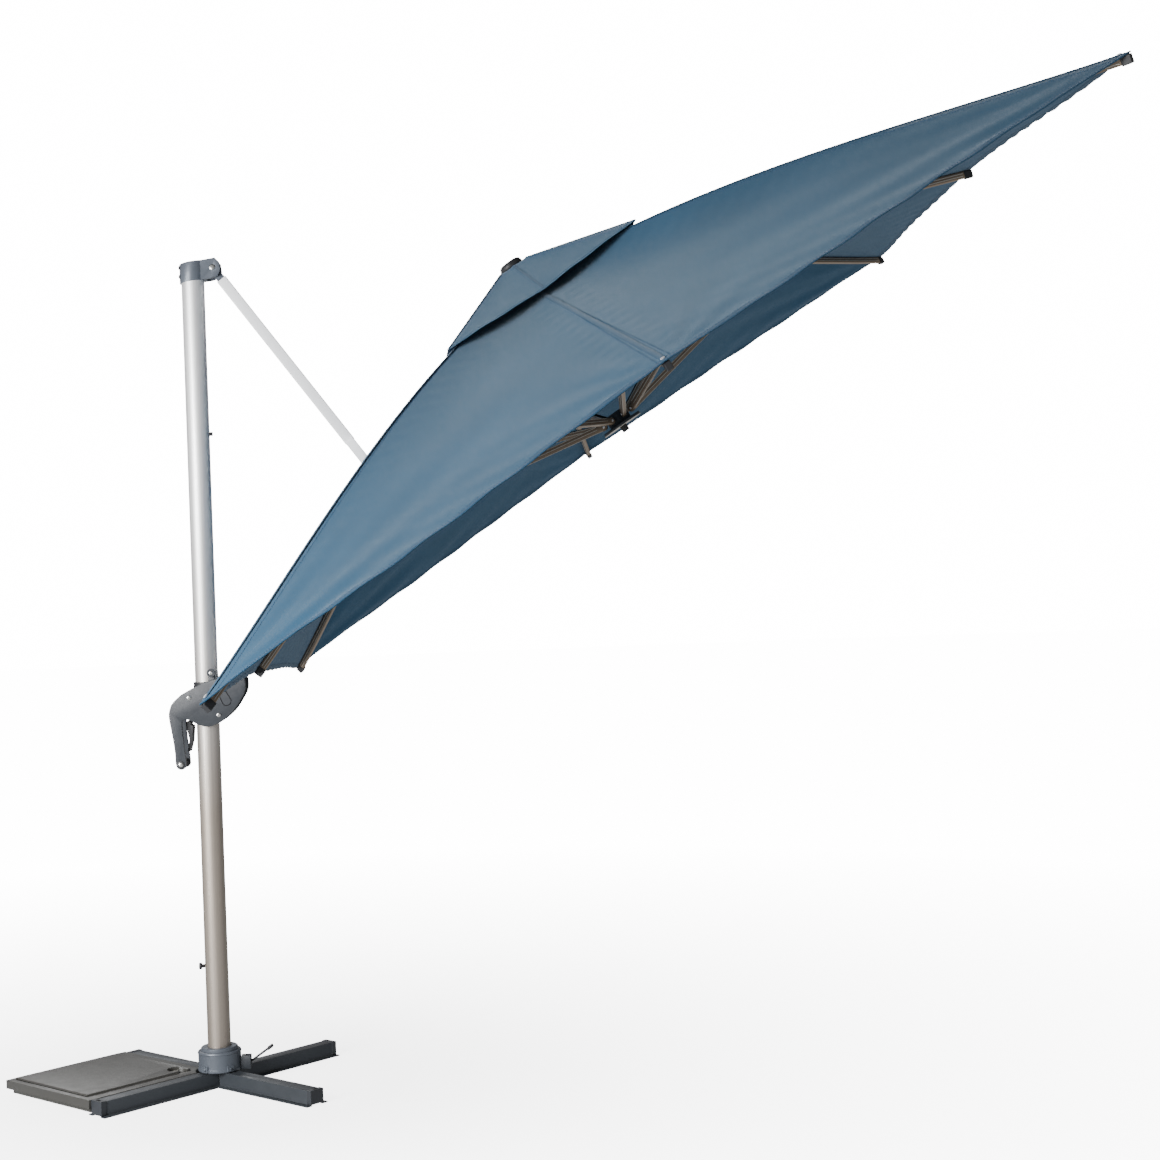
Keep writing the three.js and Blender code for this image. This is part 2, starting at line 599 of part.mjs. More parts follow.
function addCanopy(parent) {
  const canopy = new THREE.Group();
  canopy.position.set(APEX.x, 0, APEX.z);
  canopy.rotation.y = -TILT;
  parent.add(canopy);
  addCanopyHead(canopy);
  addRunner(canopy);
  for (let i = 0; i < RIBS; i += 1) {
    addRib(canopy, i, i * 2 * Math.PI / RIBS);
  }
}

const group = new THREE.Group();
addBase(group);
addPedal(group);
addMast(group);
addSlider(group);
addTrigger(group);
addBoom(group);
addStrut(group);
addCanopy(group);

export default group;
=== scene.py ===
"""Looks of a cantilever parasol: cross base and weight slab, mast, sliding handle, boom and tilted canopy.

Metres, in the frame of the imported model: the origin is on the ground on the mast's axis, +X points along the
boom and +Z is up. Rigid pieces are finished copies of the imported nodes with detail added; the cloth is made
here, panel by panel, and follows the ribs as the canopy folds.
"""
from __future__ import annotations

import json
import logging
import math
from dataclasses import dataclass, field
from enum import Enum
from typing import Callable, Iterable, Sequence

import bmesh
import bpy
import numpy as np
from mathutils import Matrix, Vector

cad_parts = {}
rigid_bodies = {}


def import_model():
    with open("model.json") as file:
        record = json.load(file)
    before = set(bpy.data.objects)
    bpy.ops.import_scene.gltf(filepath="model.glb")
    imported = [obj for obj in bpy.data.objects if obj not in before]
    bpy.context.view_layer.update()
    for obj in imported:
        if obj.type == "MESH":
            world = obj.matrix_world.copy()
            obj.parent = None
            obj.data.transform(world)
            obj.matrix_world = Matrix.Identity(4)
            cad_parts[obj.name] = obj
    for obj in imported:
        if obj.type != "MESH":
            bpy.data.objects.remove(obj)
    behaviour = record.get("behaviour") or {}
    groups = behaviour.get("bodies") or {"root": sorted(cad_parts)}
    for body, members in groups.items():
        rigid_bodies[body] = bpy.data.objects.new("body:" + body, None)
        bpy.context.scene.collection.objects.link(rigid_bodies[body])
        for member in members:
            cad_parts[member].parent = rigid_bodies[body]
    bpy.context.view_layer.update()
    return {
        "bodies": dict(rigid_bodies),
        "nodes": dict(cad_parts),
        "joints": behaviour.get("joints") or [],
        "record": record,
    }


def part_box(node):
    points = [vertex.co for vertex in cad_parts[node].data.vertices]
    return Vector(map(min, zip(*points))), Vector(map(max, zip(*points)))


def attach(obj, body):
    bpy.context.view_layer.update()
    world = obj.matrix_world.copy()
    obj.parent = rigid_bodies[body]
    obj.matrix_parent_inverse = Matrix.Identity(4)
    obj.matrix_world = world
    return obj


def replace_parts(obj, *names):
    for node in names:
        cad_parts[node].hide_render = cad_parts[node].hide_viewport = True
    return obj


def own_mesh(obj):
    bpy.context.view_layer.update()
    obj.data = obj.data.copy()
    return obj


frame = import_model()
LOG = logging.getLogger("parasol")
Colour = tuple[float, float, float]


# ---------------------------------------------------------------- finishes
def linear(red: int, green: int, blue: int) -> tuple[float, float, float, float]:
    """A colour given as display values from 0 to 255, in the linear values that shaders read."""
    def channel(value: float) -> float:
        """One display value from 0 to 1, made linear."""
        return value / 12.92 if value <= 0.04045 else ((value + 0.055) / 1.055) ** 2.4
    return channel(red / 255), channel(green / 255), channel(blue / 255), 1.0


class NodeWriter:
    """Adds nodes to a tree and links them, so that a finish or a tree reads as a few lines."""

    def __init__(self, tree: bpy.types.NodeTree) -> None:
        """Args:
            tree: the tree that gets the nodes.
        """
        self.tree = tree
        self.column = 0

    def add(self, kind: str, inputs: dict[str | int, object] | None = None, **settings: object) -> bpy.types.Node:
        """Adds one node.

        Args:
            kind: Blender's name for the node type.
            inputs: a value or an output socket for each input, by name or number.
            settings: the node's own properties.

        Returns:
            The node.
        """
        node = self.tree.nodes.new(kind)
        node.location = (180 * self.column, 0)
        self.column += 1
        for key, value in settings.items():
            setattr(node, key, value)
        for key, value in (inputs or {}).items():
            if isinstance(value, bpy.types.NodeSocket):
                self.tree.links.new(value, node.inputs[key])
            else:
                node.inputs[key].default_value = value
        return node

    def math(self, operation: str, first: object, second: object = 0.0) -> bpy.types.NodeSocket:
        """The result of a Math node on two values or sockets."""
        return self.add("ShaderNodeMath", {0: first, 1: second}, operation=operation).outputs[0]

    def noise(self, where: bpy.types.NodeSocket, scale: float, detail: float = 2.0) -> bpy.types.NodeSocket:
        """The grey value of a noise of this scale, in cells to the metre."""
        inputs = {"Vector": where, "Scale": scale, "Detail": detail}
        return self.add("ShaderNodeTexNoise", inputs).outputs["Fac"]

    def ramp(self, amount: bpy.types.NodeSocket,
             stops: Sequence[tuple[float, Sequence[float]]]) -> bpy.types.NodeSocket:
        """A colour ramp of (place, colour) stops."""
        node = self.add("ShaderNodeValToRGB", {"Fac": amount})
        elements = node.color_ramp.elements
        for number, (place, colour) in enumerate(stops):
            element = elements[number] if number < len(elements) else elements.new(place)
            element.position = place
            element.color = colour
        return node.outputs["Color"]

    def mapped(self, amount: bpy.types.NodeSocket, low: float, high: float,
               to_low: float, to_high: float) -> bpy.types.NodeSocket:
        """A value moved from one range to another, held at the ends."""
        inputs = {"Value": amount, "From Min": low, "From Max": high, "To Min": to_low, "To Max": to_high}
        return self.add("ShaderNodeMapRange", inputs).outputs["Result"]

    def stretched(self, where: bpy.types.NodeSocket, scale: Sequence[float]) -> bpy.types.NodeSocket:
        """Coordinates scaled along each axis."""
        return self.add("ShaderNodeMapping", {"Vector": where, "Scale": scale}).outputs["Vector"]


def shades(colour: Sequence[float], spread: float) -> list[tuple[float, tuple[float, ...]]]:
    """Two ramp stops round a colour: a darker and a lighter one."""
    dark = tuple(c * (1 - spread) for c in colour[:3]) + (1.0,)
    light = tuple(min(1.0, c * (1 + spread)) for c in colour[:3]) + (1.0,)
    return [(0.3, dark), (0.7, light)]


@dataclass(frozen=True)
class Finish:
    """A finish with a colour that varies a little and a fine grain in its surface."""

    name: str
    colour: tuple[float, float, float, float]
    roughness: float = 0.5
    metallic: float = 0.0
    spread: float = 0.06
    grain: float = 900.0
    grain_height: float = 0.00004
    cloud: float = 9.0
    specular: float = 0.5
    coat: float = 0.0

    def material(self) -> bpy.types.Material:
        """Builds the material.

        Returns:
            The material, or the one already made under this name.
        """
        known = bpy.data.materials.get(self.name)
        if known:
            return known
        made = bpy.data.materials.new(self.name)
        made.use_nodes = True
        made.node_tree.nodes.clear()
        writer = NodeWriter(made.node_tree)
        place = writer.add("ShaderNodeTexCoord").outputs["Object"]
        surface = writer.add("ShaderNodeBsdfPrincipled")
        self.dress(writer, surface, place)
        writer.add("ShaderNodeOutputMaterial", {"Surface": surface.outputs["BSDF"]})
        return made

    def dress(self, writer: NodeWriter, surface: bpy.types.Node, place: bpy.types.NodeSocket) -> None:
        """Sets the surface's colour, gloss and bump.

        Args:
            writer: adds the nodes.
            surface: the Principled node.
            place: object coordinates.
        """
        surface.inputs["Metallic"].default_value = self.metallic
        surface.inputs["Specular IOR Level"].default_value = self.specular
        surface.inputs["Coat Weight"].default_value = self.coat
        cloud = writer.noise(place, self.cloud, 4.0)
        colour = writer.ramp(cloud, shades(self.colour, self.spread))
        writer.tree.links.new(colour, surface.inputs["Base Color"])
        rough = writer.mapped(writer.noise(place, 5 * self.cloud), 0.3, 0.7,
                              0.85 * self.roughness, min(1.0, 1.15 * self.roughness))
        writer.tree.links.new(rough, surface.inputs["Roughness"])
        self.relief(writer, surface, writer.noise(place, self.grain, 1.0), self.grain_height)

    def relief(self, writer: NodeWriter, surface: bpy.types.Node, height: bpy.types.NodeSocket,
               depth: float) -> None:
        """Links a bump of this depth, in metres, to the surface."""
        bump = writer.add("ShaderNodeBump", {"Height": height, "Distance": depth, "Strength": 1.0})
        writer.tree.links.new(bump.outputs["Normal"], surface.inputs["Normal"])


@dataclass(frozen=True)
class TubeFinish(Finish):
    """Anodised tube: drawn lines along the tube, and a painted highlight that pales the colour towards the top of
    the tube.
    """

    # painted highlight: the pale colour that the tube fades to between the two heights below, for the bright light
    # on its top part
    painted_highlight_colour: tuple[float, float, float, float] = (0.6, 0.6, 0.6, 1.0)
    painted_highlight_from: float = 0.9
    painted_highlight_to: float = 1.9
    drawn: tuple[float, float, float] = (420.0, 420.0, 1.2)

    def dress(self, writer: NodeWriter, surface: bpy.types.Node, place: bpy.types.NodeSocket) -> None:
        """Sets the painted highlight, which pales the colour along the height, and the drawn lines."""
        surface.inputs["Metallic"].default_value = self.metallic
        height = writer.add("ShaderNodeSeparateXYZ", {0: place}).outputs["Z"]
        # painted highlight: paler towards the top
        rise = writer.mapped(height, self.painted_highlight_from, self.painted_highlight_to, 0.0, 1.0)
        tone_and_painted_highlight = writer.ramp(rise, [(0.0, self.colour), (1.0, self.painted_highlight_colour)])
        lines = writer.noise(writer.stretched(place, self.drawn), 1.0, 3.0)
        shade = writer.mapped(lines, 0.3, 0.7, 1 - self.spread, 1 + self.spread)
        scaled = writer.add("ShaderNodeVectorMath", {0: tone_and_painted_highlight, "Scale": shade}, operation="SCALE")
        writer.tree.links.new(scaled.outputs[0], surface.inputs["Base Color"])
        rough = writer.mapped(lines, 0.3, 0.7, 0.85 * self.roughness, 1.2 * self.roughness)
        writer.tree.links.new(rough, surface.inputs["Roughness"])
        self.relief(writer, surface, lines, self.grain_height)


@dataclass(frozen=True)
class Canvas(Finish):
    """Woven polyester canopy cloth, with the weave on the cloth's own map in metres."""

    thread: float = 0.0016
    sheen: float = 0.3
    slub: float = 0.05

    def dress(self, writer: NodeWriter, surface: bpy.types.Node, place: bpy.types.NodeSocket) -> None:
        """Sets mottling, slubs in the yarn, sheen and the plain weave."""
        surface.inputs["Specular IOR Level"].default_value = self.specular
        surface.inputs["Roughness"].default_value = self.roughness
        surface.inputs["Sheen Weight"].default_value = self.sheen
        surface.inputs["Sheen Roughness"].default_value = 0.5
        surface.inputs["Sheen Tint"].default_value = (0.75, 0.87, 1.0, 1.0)
        weave_map = writer.add("ShaderNodeUVMap", uv_map="cloth").outputs["UV"]
        mottle = writer.noise(place, 2.2, 5.0)
        base = writer.ramp(mottle, shades(self.colour, self.spread))
        slubs = writer.noise(writer.stretched(weave_map, (9.0, 380.0, 1.0)), 1.0, 2.0)
        picks = writer.noise(writer.stretched(weave_map, (380.0, 9.0, 1.0)), 1.0, 2.0)
        yarn = writer.math("ADD", slubs, picks)
        shade = writer.mapped(yarn, 0.7, 1.3, 1 - self.slub, 1 + self.slub)
        scaled = writer.add("ShaderNodeVectorMath", {0: base, "Scale": shade}, operation="SCALE")
        writer.tree.links.new(scaled.outputs[0], surface.inputs["Base Color"])
        split = writer.add("ShaderNodeSeparateXYZ", {0: weave_map})
        turns = 2 * math.pi / (2 * self.thread)
        warp = writer.math("SINE", writer.math("MULTIPLY", split.outputs["X"], turns))
        weft = writer.math("SINE", writer.math("MULTIPLY", split.outputs["Y"], turns))
        crossing = writer.math("MULTIPLY", warp, weft)
        crimp = writer.math("ADD", crossing, writer.math("MULTIPLY", yarn, 0.8))
        self.relief(writer, surface, crimp, self.grain_height)


class Finishes(Enum):
    """Every finish on the parasol."""

    # both tubes pale towards their tops: a painted highlight
    TUBE = TubeFinish("anodised_tube", linear(172, 162, 151), 0.5, 0.75, 0.05, grain_height=0.00001,
                      painted_highlight_colour=linear(246, 246, 246))
    STRUT = TubeFinish("pale_coated_tube", linear(244, 245, 247), 0.45, 0.0, 0.02, grain_height=0.00001,
                       painted_highlight_colour=linear(250, 251, 253))
    STEEL_COAT = Finish("powder_coated_steel", linear(62, 66, 71), 0.48, 0.25, 0.08, 1400.0, 0.00006, 7.0)
    CASTING = Finish("coated_casting", linear(96, 102, 111), 0.4, 0.3, 0.06, 1100.0, 0.00005, 12.0)
    SHELL = Finish("moulded_anthracite", linear(52, 55, 60), 0.42, 0.0, 0.06, 700.0, 0.00005, 10.0)
    BLACK = Finish("black_polyamide", linear(38, 39, 42), 0.5, 0.0, 0.08, 900.0, 0.00005, 14.0)
    RUBBER = Finish("grip_rubber", linear(52, 54, 58), 0.72, 0.0, 0.08, 1500.0, 0.00010, 20.0, 0.35)
    RIB = Finish("taupe_rib", linear(140, 124, 106), 0.42, 0.55, 0.05, 1200.0, 0.00003, 6.0)
    # painted highlight: a light colour for the beads along ribs and stretchers, standing for glints on their
    # ridges; the runner's rim is pale in the same colour
    EDGE = Finish("pale_rim_and_painted_glint", linear(205, 200, 190), 0.35, 0.6, 0.04, 1200.0, 0.00002, 10.0)
    SLAB = Finish("slab_shell_plastic", linear(66, 65, 62), 0.42, 0.0, 0.09, 420.0, 0.00022, 5.0, 0.8)
    CONCRETE = Finish("cast_concrete", linear(141, 139, 134), 0.92, 0.0, 0.16, 160.0, 0.0006, 22.0, 0.3)
    STEEL = Finish("bright_steel", linear(205, 205, 202), 0.28, 1.0, 0.04, 1500.0, 0.00002, 30.0)
    RIVET = Finish("nickel_rivet", linear(232, 233, 236), 0.3, 0.6, 0.03, 1500.0, 0.00002, 30.0)
    CLOTH = Canvas("canopy_canvas", linear(24, 70, 98), 0.86, 0.0, 0.09, grain_height=0.00020, specular=0.15)
    # painted shade: the underside is the same cloth, given its own greyer colour for how it looks in the shade
    # under the canopy
    SHADED_UNDERSIDE = Canvas("canopy_underside_painted_shade", linear(104, 98, 98), 0.92, 0.0, 0.10, grain_height=0.00020,
                    specular=0.1, sheen=0.05)
    SEAM = Canvas("seam_tape", linear(20, 61, 87), 0.88, 0.0, 0.06, grain_height=0.00015, specular=0.2)
    THREAD = Finish("sewing_thread", linear(50, 84, 116), 0.7, 0.0, 0.05, 2000.0, 0.00003, 40.0, 0.3)
    # painted shade: near-black for the thin patches laid where notches, windows, gaps and the slab panel's edge
    # hold only shade
    SHADOW = Finish("painted_recess_shade", linear(16, 16, 18), 0.8, 0.0, 0.05, 900.0, 0.00003, 20.0, 0.2)


SLOT_FINISH: dict[str, Finishes] = {
    "anodised": Finishes.TUBE,
    "pale_coat": Finishes.STRUT,
    "anthracite_steel": Finishes.STEEL_COAT,
    "anthracite_plastic": Finishes.SHELL,
    "anthracite_casting": Finishes.CASTING,
    "black_plastic": Finishes.BLACK,
    "taupe": Finishes.RIB,
    "slab_plastic": Finishes.SLAB,
    "concrete": Finishes.CONCRETE,
    "steel": Finishes.STEEL,
    "canopy_cloth": Finishes.CLOTH,
}


# ---------------------------------------------------------------- mesh making
@dataclass
class Shape:
    """Points and faces of a mesh that is being made, with one material number for each face."""

    points: list[Sequence[float]] = field(default_factory=list)
    faces: list[tuple[int, ...]] = field(default_factory=list)
    paints: list[int] = field(default_factory=list)

    def extend(self, other: Shape) -> Shape:
        """Adds another shape's faces to this one and returns this one."""
        start = len(self.points)
        self.points.extend(other.points)
        self.faces.extend(tuple(start + i for i in face) for face in other.faces)
        self.paints.extend(other.paints)
        return self

    def add_face(self, face: tuple[int, ...], paint: int = 0) -> None:
        """Adds one face."""
        self.faces.append(face)
        self.paints.append(paint)

    def mesh(self, name: str) -> bpy.types.Mesh:
        """The shape as a mesh with its doubles merged and its faces turned outwards."""
        mesh = bpy.data.meshes.new(name)
        mesh.from_pydata([tuple(p) for p in self.points], [], self.faces)
        mesh.polygons.foreach_set("material_index", self.paints)
        bm = bmesh.new()
        bm.from_mesh(mesh)
        bmesh.ops.remove_doubles(bm, verts=bm.verts, dist=1e-6)
        bmesh.ops.recalc_face_normals(bm, faces=bm.faces)
        bm.to_mesh(mesh)
        bm.free()
        return mesh


def loft(sections: Sequence[Sequence[Sequence[float]]], ring: bool = False) -> Shape:
    """A closed skin through sections that have the same number of points.

    Args:
        sections: the outlines, in order.
        ring: whether the last section joins the first, so that there are no ends.

    Returns:
        The shape, with flat ends unless it is a ring.
    """
    shape = Shape()
    count = len(sections[0])
    for section in sections:
        shape.points.extend(section)
    rows = len(sections)
    for row in range(rows if ring else rows - 1):
        here = row * count
        there = (row + 1) % rows * count
        for i in range(count):
            j = (i + 1) % count
            shape.add_face((here + i, here + j, there + j, there + i))
    if not ring:
        shape.add_face(tuple(reversed(range(count))))
        shape.add_face(tuple((rows - 1) * count + i for i in range(count)))
    return shape


def axes_of(direction: Vector) -> tuple[Vector, Vector, Vector]:
    """Three unit vectors at right angles, the last one along direction."""
    along = direction.normalized()
    helper = Vector((0, 0, 1)) if abs(along.z) < 0.9 else Vector((1, 0, 0))
    side = helper.cross(along).normalized()
    return side, along.cross(side), along


def turned(profile: Sequence[tuple[float, float]], centre: Vector, axis: Vector, sides: int = 48) -> Shape:
    """A solid turned round an axis.

    Args:
        profile: (radius, place along the axis) points. A closed ring's profile runs right round its section.
        centre: where place 0 is.
        axis: the axis's direction.
        sides: the number of steps round the axis.

    Returns:
        The shape. The ends are closed where the profile starts and ends off the axis.
    """
    side, up, along = axes_of(axis)
    sections = []
    for radius, place in profile:
        middle = centre + along * place
        sections.append([
            middle + (side * math.cos(a) + up * math.sin(a)) * max(radius, 1e-5)
            for a in (2 * math.pi * i / sides for i in range(sides))
        ])
    return loft(sections)


def block(size: Sequence[float], centre: Vector, turn: Matrix | None = None) -> Shape:
    """A box of this size about a centre, turned by a rotation matrix."""
    half = Vector(size) / 2
    turn = turn or Matrix.Identity(3)
    corners = [(-1, -1), (1, -1), (1, 1), (-1, 1)]
    return loft([[centre + turn @ Vector((half.x * x, half.y * y, half.z * z)) for x, y in corners]
                 for z in (-1, 1)])


def finished_mesh(mesh: bpy.types.Mesh, bevel: float, angle: float, segments: int) -> bpy.types.Mesh:
    """Rounds a mesh's edges and shades it smooth.

    Args:
        mesh: the mesh to finish.
        bevel: the width of the rounding, or 0 for none.
        angle: edges sharper than this are rounded, in degrees.
        segments: steps in the rounding.

    Returns:
        A new mesh.
    """
    mesh.polygons.foreach_set("use_smooth", [True] * len(mesh.polygons))
    if bevel <= 0:
        mesh.set_sharp_from_angle(angle=math.radians(angle))
        return mesh
    holder = bpy.data.objects.new("holder", mesh)
    bpy.context.scene.collection.objects.link(holder)
    rounding = holder.modifiers.new("rounding", "BEVEL")
    rounding.width = bevel
    rounding.segments = segments
    rounding.limit_method = "ANGLE"
    rounding.angle_limit = math.radians(angle)
    rounding.harden_normals = True
    rounding.use_clamp_overlap = True
    rounding.miter_outer = "MITER_ARC"
    result = bpy.data.meshes.new_from_object(holder.evaluated_get(bpy.context.evaluated_depsgraph_get()))
    bpy.data.objects.remove(holder)
    return result


class Workshop:
    """Makes pieces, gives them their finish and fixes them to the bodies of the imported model."""

    def __init__(self) -> None:
        """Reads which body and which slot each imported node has."""
        record = frame["record"]
        self.body_of = {n: body for body, nodes in record["behaviour"]["bodies"].items() for n in nodes}
        self.slot_of = {part["node"]: part["material_slot"] for part in record["subparts"]}
        self.joints = {joint["name"]: joint for joint in frame["joints"]}

    def place(self, name: str, mesh: bpy.types.Mesh, finishes: Sequence[Finishes], body: str | None,
              slot: str) -> bpy.types.Object:
        """Adds a mesh to the scene as a piece.

        Args:
            name: the piece's name.
            mesh: its mesh, in place.
            finishes: one finish for each material number in the mesh.
            body: the body that it rides on, or None where the caller blends it.
            slot: the record's slot for its finish; not used.

        Returns:
            The piece.
        """
        mesh.materials.clear()
        for finish in finishes:
            mesh.materials.append(finish.value.material())
        piece = bpy.data.objects.new(name, mesh)
        bpy.context.scene.collection.objects.link(piece)
        if body:
            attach(piece, body)
        LOG.info("%s: %d faces on %s", name, len(mesh.polygons), body)
        return piece

    def make(self, name: str, shape: Shape, finish: Finishes, body: str, slot: str, bevel: float = 0.0,
             segments: int = 2, more: Sequence[Finishes] = ()) -> bpy.types.Object:
        """Makes a piece from a shape, with its edges rounded."""
        mesh = finished_mesh(shape.mesh(name), bevel, 35, segments)
        return self.place(name, mesh, [finish, *more], body, slot)

    def refine(self, node: str, bevel: float = 0.0, finish: Finishes | None = None, segments: int = 2,
               angle: float = 35) -> bpy.types.Object:
        """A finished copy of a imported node: its flat facets joined, its edges rounded, its turns smooth.

        Args:
            node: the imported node, which the copy stands for.
            bevel: the width of the rounding.
            finish: the finish, or None for the one of the node's slot.
            segments: steps in the rounding.
            angle: edges sharper than this are rounded or kept sharp, in degrees.

        Returns:
            The piece.
        """
        mesh = bpy.data.meshes.new(f"{node}_finished")
        bm = bmesh.new()
        bm.from_mesh(frame["nodes"][node].data)
        bmesh.ops.remove_doubles(bm, verts=bm.verts, dist=2e-5)
        bmesh.ops.dissolve_limit(bm, angle_limit=math.radians(0.8), verts=bm.verts, edges=bm.edges)
        bm.to_mesh(mesh)
        bm.free()
        mesh = finished_mesh(mesh, bevel, angle, segments)
        slot = self.slot_of[node]
        piece = self.place(f"{node}_finished", mesh, [finish or SLOT_FINISH[slot]], self.body_of[node], slot)
        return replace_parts(piece, node)

    def keep(self, node: str, finish: Finishes | None = None) -> None:
        """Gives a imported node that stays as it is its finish."""
        piece = frame["nodes"][node]
        for slot in piece.material_slots:
            slot.link = "OBJECT"
            slot.material = (finish or SLOT_FINISH[self.slot_of[node]]).value.material()


# ---------------------------------------------------------------- repeated parts, by geometry nodes
class NodeTool:
    """A geometry nodes tree that turns guide points or lines into many small pieces."""

    def __init__(self, name: str, sizes: dict[str, float]) -> None:
        """Builds the tree.

        Args:
            name: the tree's name.
            sizes: the named size inputs, with their usual values in metres.
        """
        self.tree = bpy.data.node_groups.new(name, "GeometryNodeTree")
        self.sockets: dict[str, str] = {}
        face = self.tree.interface
        face.new_socket("Geometry", in_out="INPUT", socket_type="NodeSocketGeometry")
        for label, usual in sizes.items():
            socket = face.new_socket(label, in_out="INPUT", socket_type="NodeSocketFloat")
            socket.default_value = usual
            self.sockets[label] = socket.identifier
        self.sockets["Material"] = face.new_socket(
            "Material", in_out="INPUT", socket_type="NodeSocketMaterial").identifier
        face.new_socket("Geometry", in_out="OUTPUT", socket_type="NodeSocketGeometry")
        self.writer = NodeWriter(self.tree)
        self.inputs = self.writer.add("NodeGroupInput").outputs
        spread = self.scatter()
        real = self.writer.add("GeometryNodeRealizeInstances", {"Geometry": spread})
        painted = self.writer.add(
            "GeometryNodeSetMaterial", {"Geometry": real.outputs[0], "Material": self.inputs["Material"]})
        self.writer.add("NodeGroupOutput", {"Geometry": painted.outputs[0]})

    def scatter(self) -> bpy.types.NodeSocket:
        """Returns the socket with the instances on the guide."""
        raise NotImplementedError

    def run(self, name: str, guide: bpy.types.Mesh, finish: Finishes, **sizes: float) -> bpy.types.Mesh:
        """Runs the tree on a guide.

        Args:
            name: the new mesh's name.
            guide: points or lines, with the vector attribute "axis".
            finish: the finish of what is made.
            sizes: sizes that differ from the usual ones, by input name with _ for a space.

        Returns:
            The result as a plain mesh.
        """
        holder = bpy.data.objects.new("holder", guide)
        bpy.context.scene.collection.objects.link(holder)
        step = holder.modifiers.new("tool", "NODES")
        step.node_group = self.tree
        for label, value in sizes.items():
            step[self.sockets[label.replace("_", " ")]] = value
        step[self.sockets["Material"]] = finish.value.material()
        mesh = bpy.data.meshes.new_from_object(holder.evaluated_get(bpy.context.evaluated_depsgraph_get()))
        mesh.name = name
        bpy.data.objects.remove(holder)
        return mesh


def guide_mesh(lines: Iterable[Sequence[Vector]], axes: Sequence[Vector] | None = None) -> bpy.types.Mesh:
    """Guide points or lines for a tool.

    Args:
        lines: runs of points. A run of one point is a single place.
        axes: the "axis" vector of each point, in order, or None for straight up.

    Returns:
        A mesh of loose points and edges.
    """
    points, edges = [], []
    for line in lines:
        start = len(points)
        points.extend(tuple(p) for p in line)
        edges.extend((start + i, start + i + 1) for i in range(len(line) - 1))
    mesh = bpy.data.meshes.new("guide")
    mesh.from_pydata(points, edges, [])
    attribute = mesh.attributes.new("axis", "FLOAT_VECTOR", "POINT")
    values = [tuple(a) for a in axes] if axes else [(0.0, 0.0, 1.0)] * len(points)
    attribute.data.foreach_set("vector", [c for v in values for c in v])
    return mesh


class HeadTool(NodeTool):
    """Places a round screw or rivet head with a recess at each guide point, facing along its axis."""

    def scatter(self) -> bpy.types.NodeSocket:
        """Builds one head from an extruded disc, and puts a copy on each point."""
        add, inputs = self.writer.add, self.inputs
        disc = add("GeometryNodeMeshCircle", {"Vertices": 20, "Radius": inputs["Radius"]}, fill_type="NGON")
        mesh, top = disc.outputs[0], None
        steps = [(0.65, 1.0), (0.25, 0.86), (0.10, 0.62), (0.0, 0.5), (-0.45, 0.9)]
        for rise, scale in steps:
            offset = self.writer.math("MULTIPLY", inputs["Height"], rise)
            socket = {"Mesh": mesh, "Offset Scale": offset}
            if top is not None:
                socket["Selection"] = top
            raised = add("GeometryNodeExtrudeMesh", socket)
            top = raised.outputs["Top"]
            shrunk = add("GeometryNodeScaleElements",
                         {"Geometry": raised.outputs["Mesh"], "Selection": top, "Scale": scale})
            mesh = shrunk.outputs[0]
        floor = add("GeometryNodeFlipFaces", {"Mesh": disc.outputs[0]})
        joined = add("GeometryNodeJoinGeometry")
        self.tree.links.new(mesh, joined.inputs[0])
        self.tree.links.new(floor.outputs[0], joined.inputs[0])
        closed = add("GeometryNodeMergeByDistance", {"Geometry": joined.outputs[0], "Distance": 1e-6})
        axis = add("GeometryNodeInputNamedAttribute", {"Name": "axis"}, data_type="FLOAT_VECTOR")
        turn = add("FunctionNodeAlignRotationToVector", {"Vector": axis.outputs[0]}, axis="Z")
        placed = add("GeometryNodeInstanceOnPoints", {
            "Points": inputs["Geometry"], "Instance": closed.outputs[0], "Rotation": turn.outputs[0]})
        return placed.outputs[0]


class StitchTool(NodeTool):
    """Sews a row of stitches along each guide line."""

    def scatter(self) -> bpy.types.NodeSocket:
        """Resamples the lines at the stitch pitch and lays a short thread at each point."""
        add, inputs = self.writer.add, self.inputs
        line = add("GeometryNodeMeshToCurve", {"Mesh": inputs["Geometry"]})
        spaced = add("GeometryNodeResampleCurve", {"Curve": line.outputs[0], "Length": inputs["Pitch"]},
                     mode="LENGTH")
        thread = add("GeometryNodeMeshCylinder",
                     {"Vertices": 5, "Radius": inputs["Radius"], "Depth": inputs["Length"]})
        tangent = add("GeometryNodeInputTangent")
        turn = add("FunctionNodeAlignRotationToVector", {"Vector": tangent.outputs[0]}, axis="Z")
        placed = add("GeometryNodeInstanceOnPoints", {
            "Points": spaced.outputs[0], "Instance": thread.outputs[0], "Rotation": turn.outputs[0]})
        return placed.outputs[0]


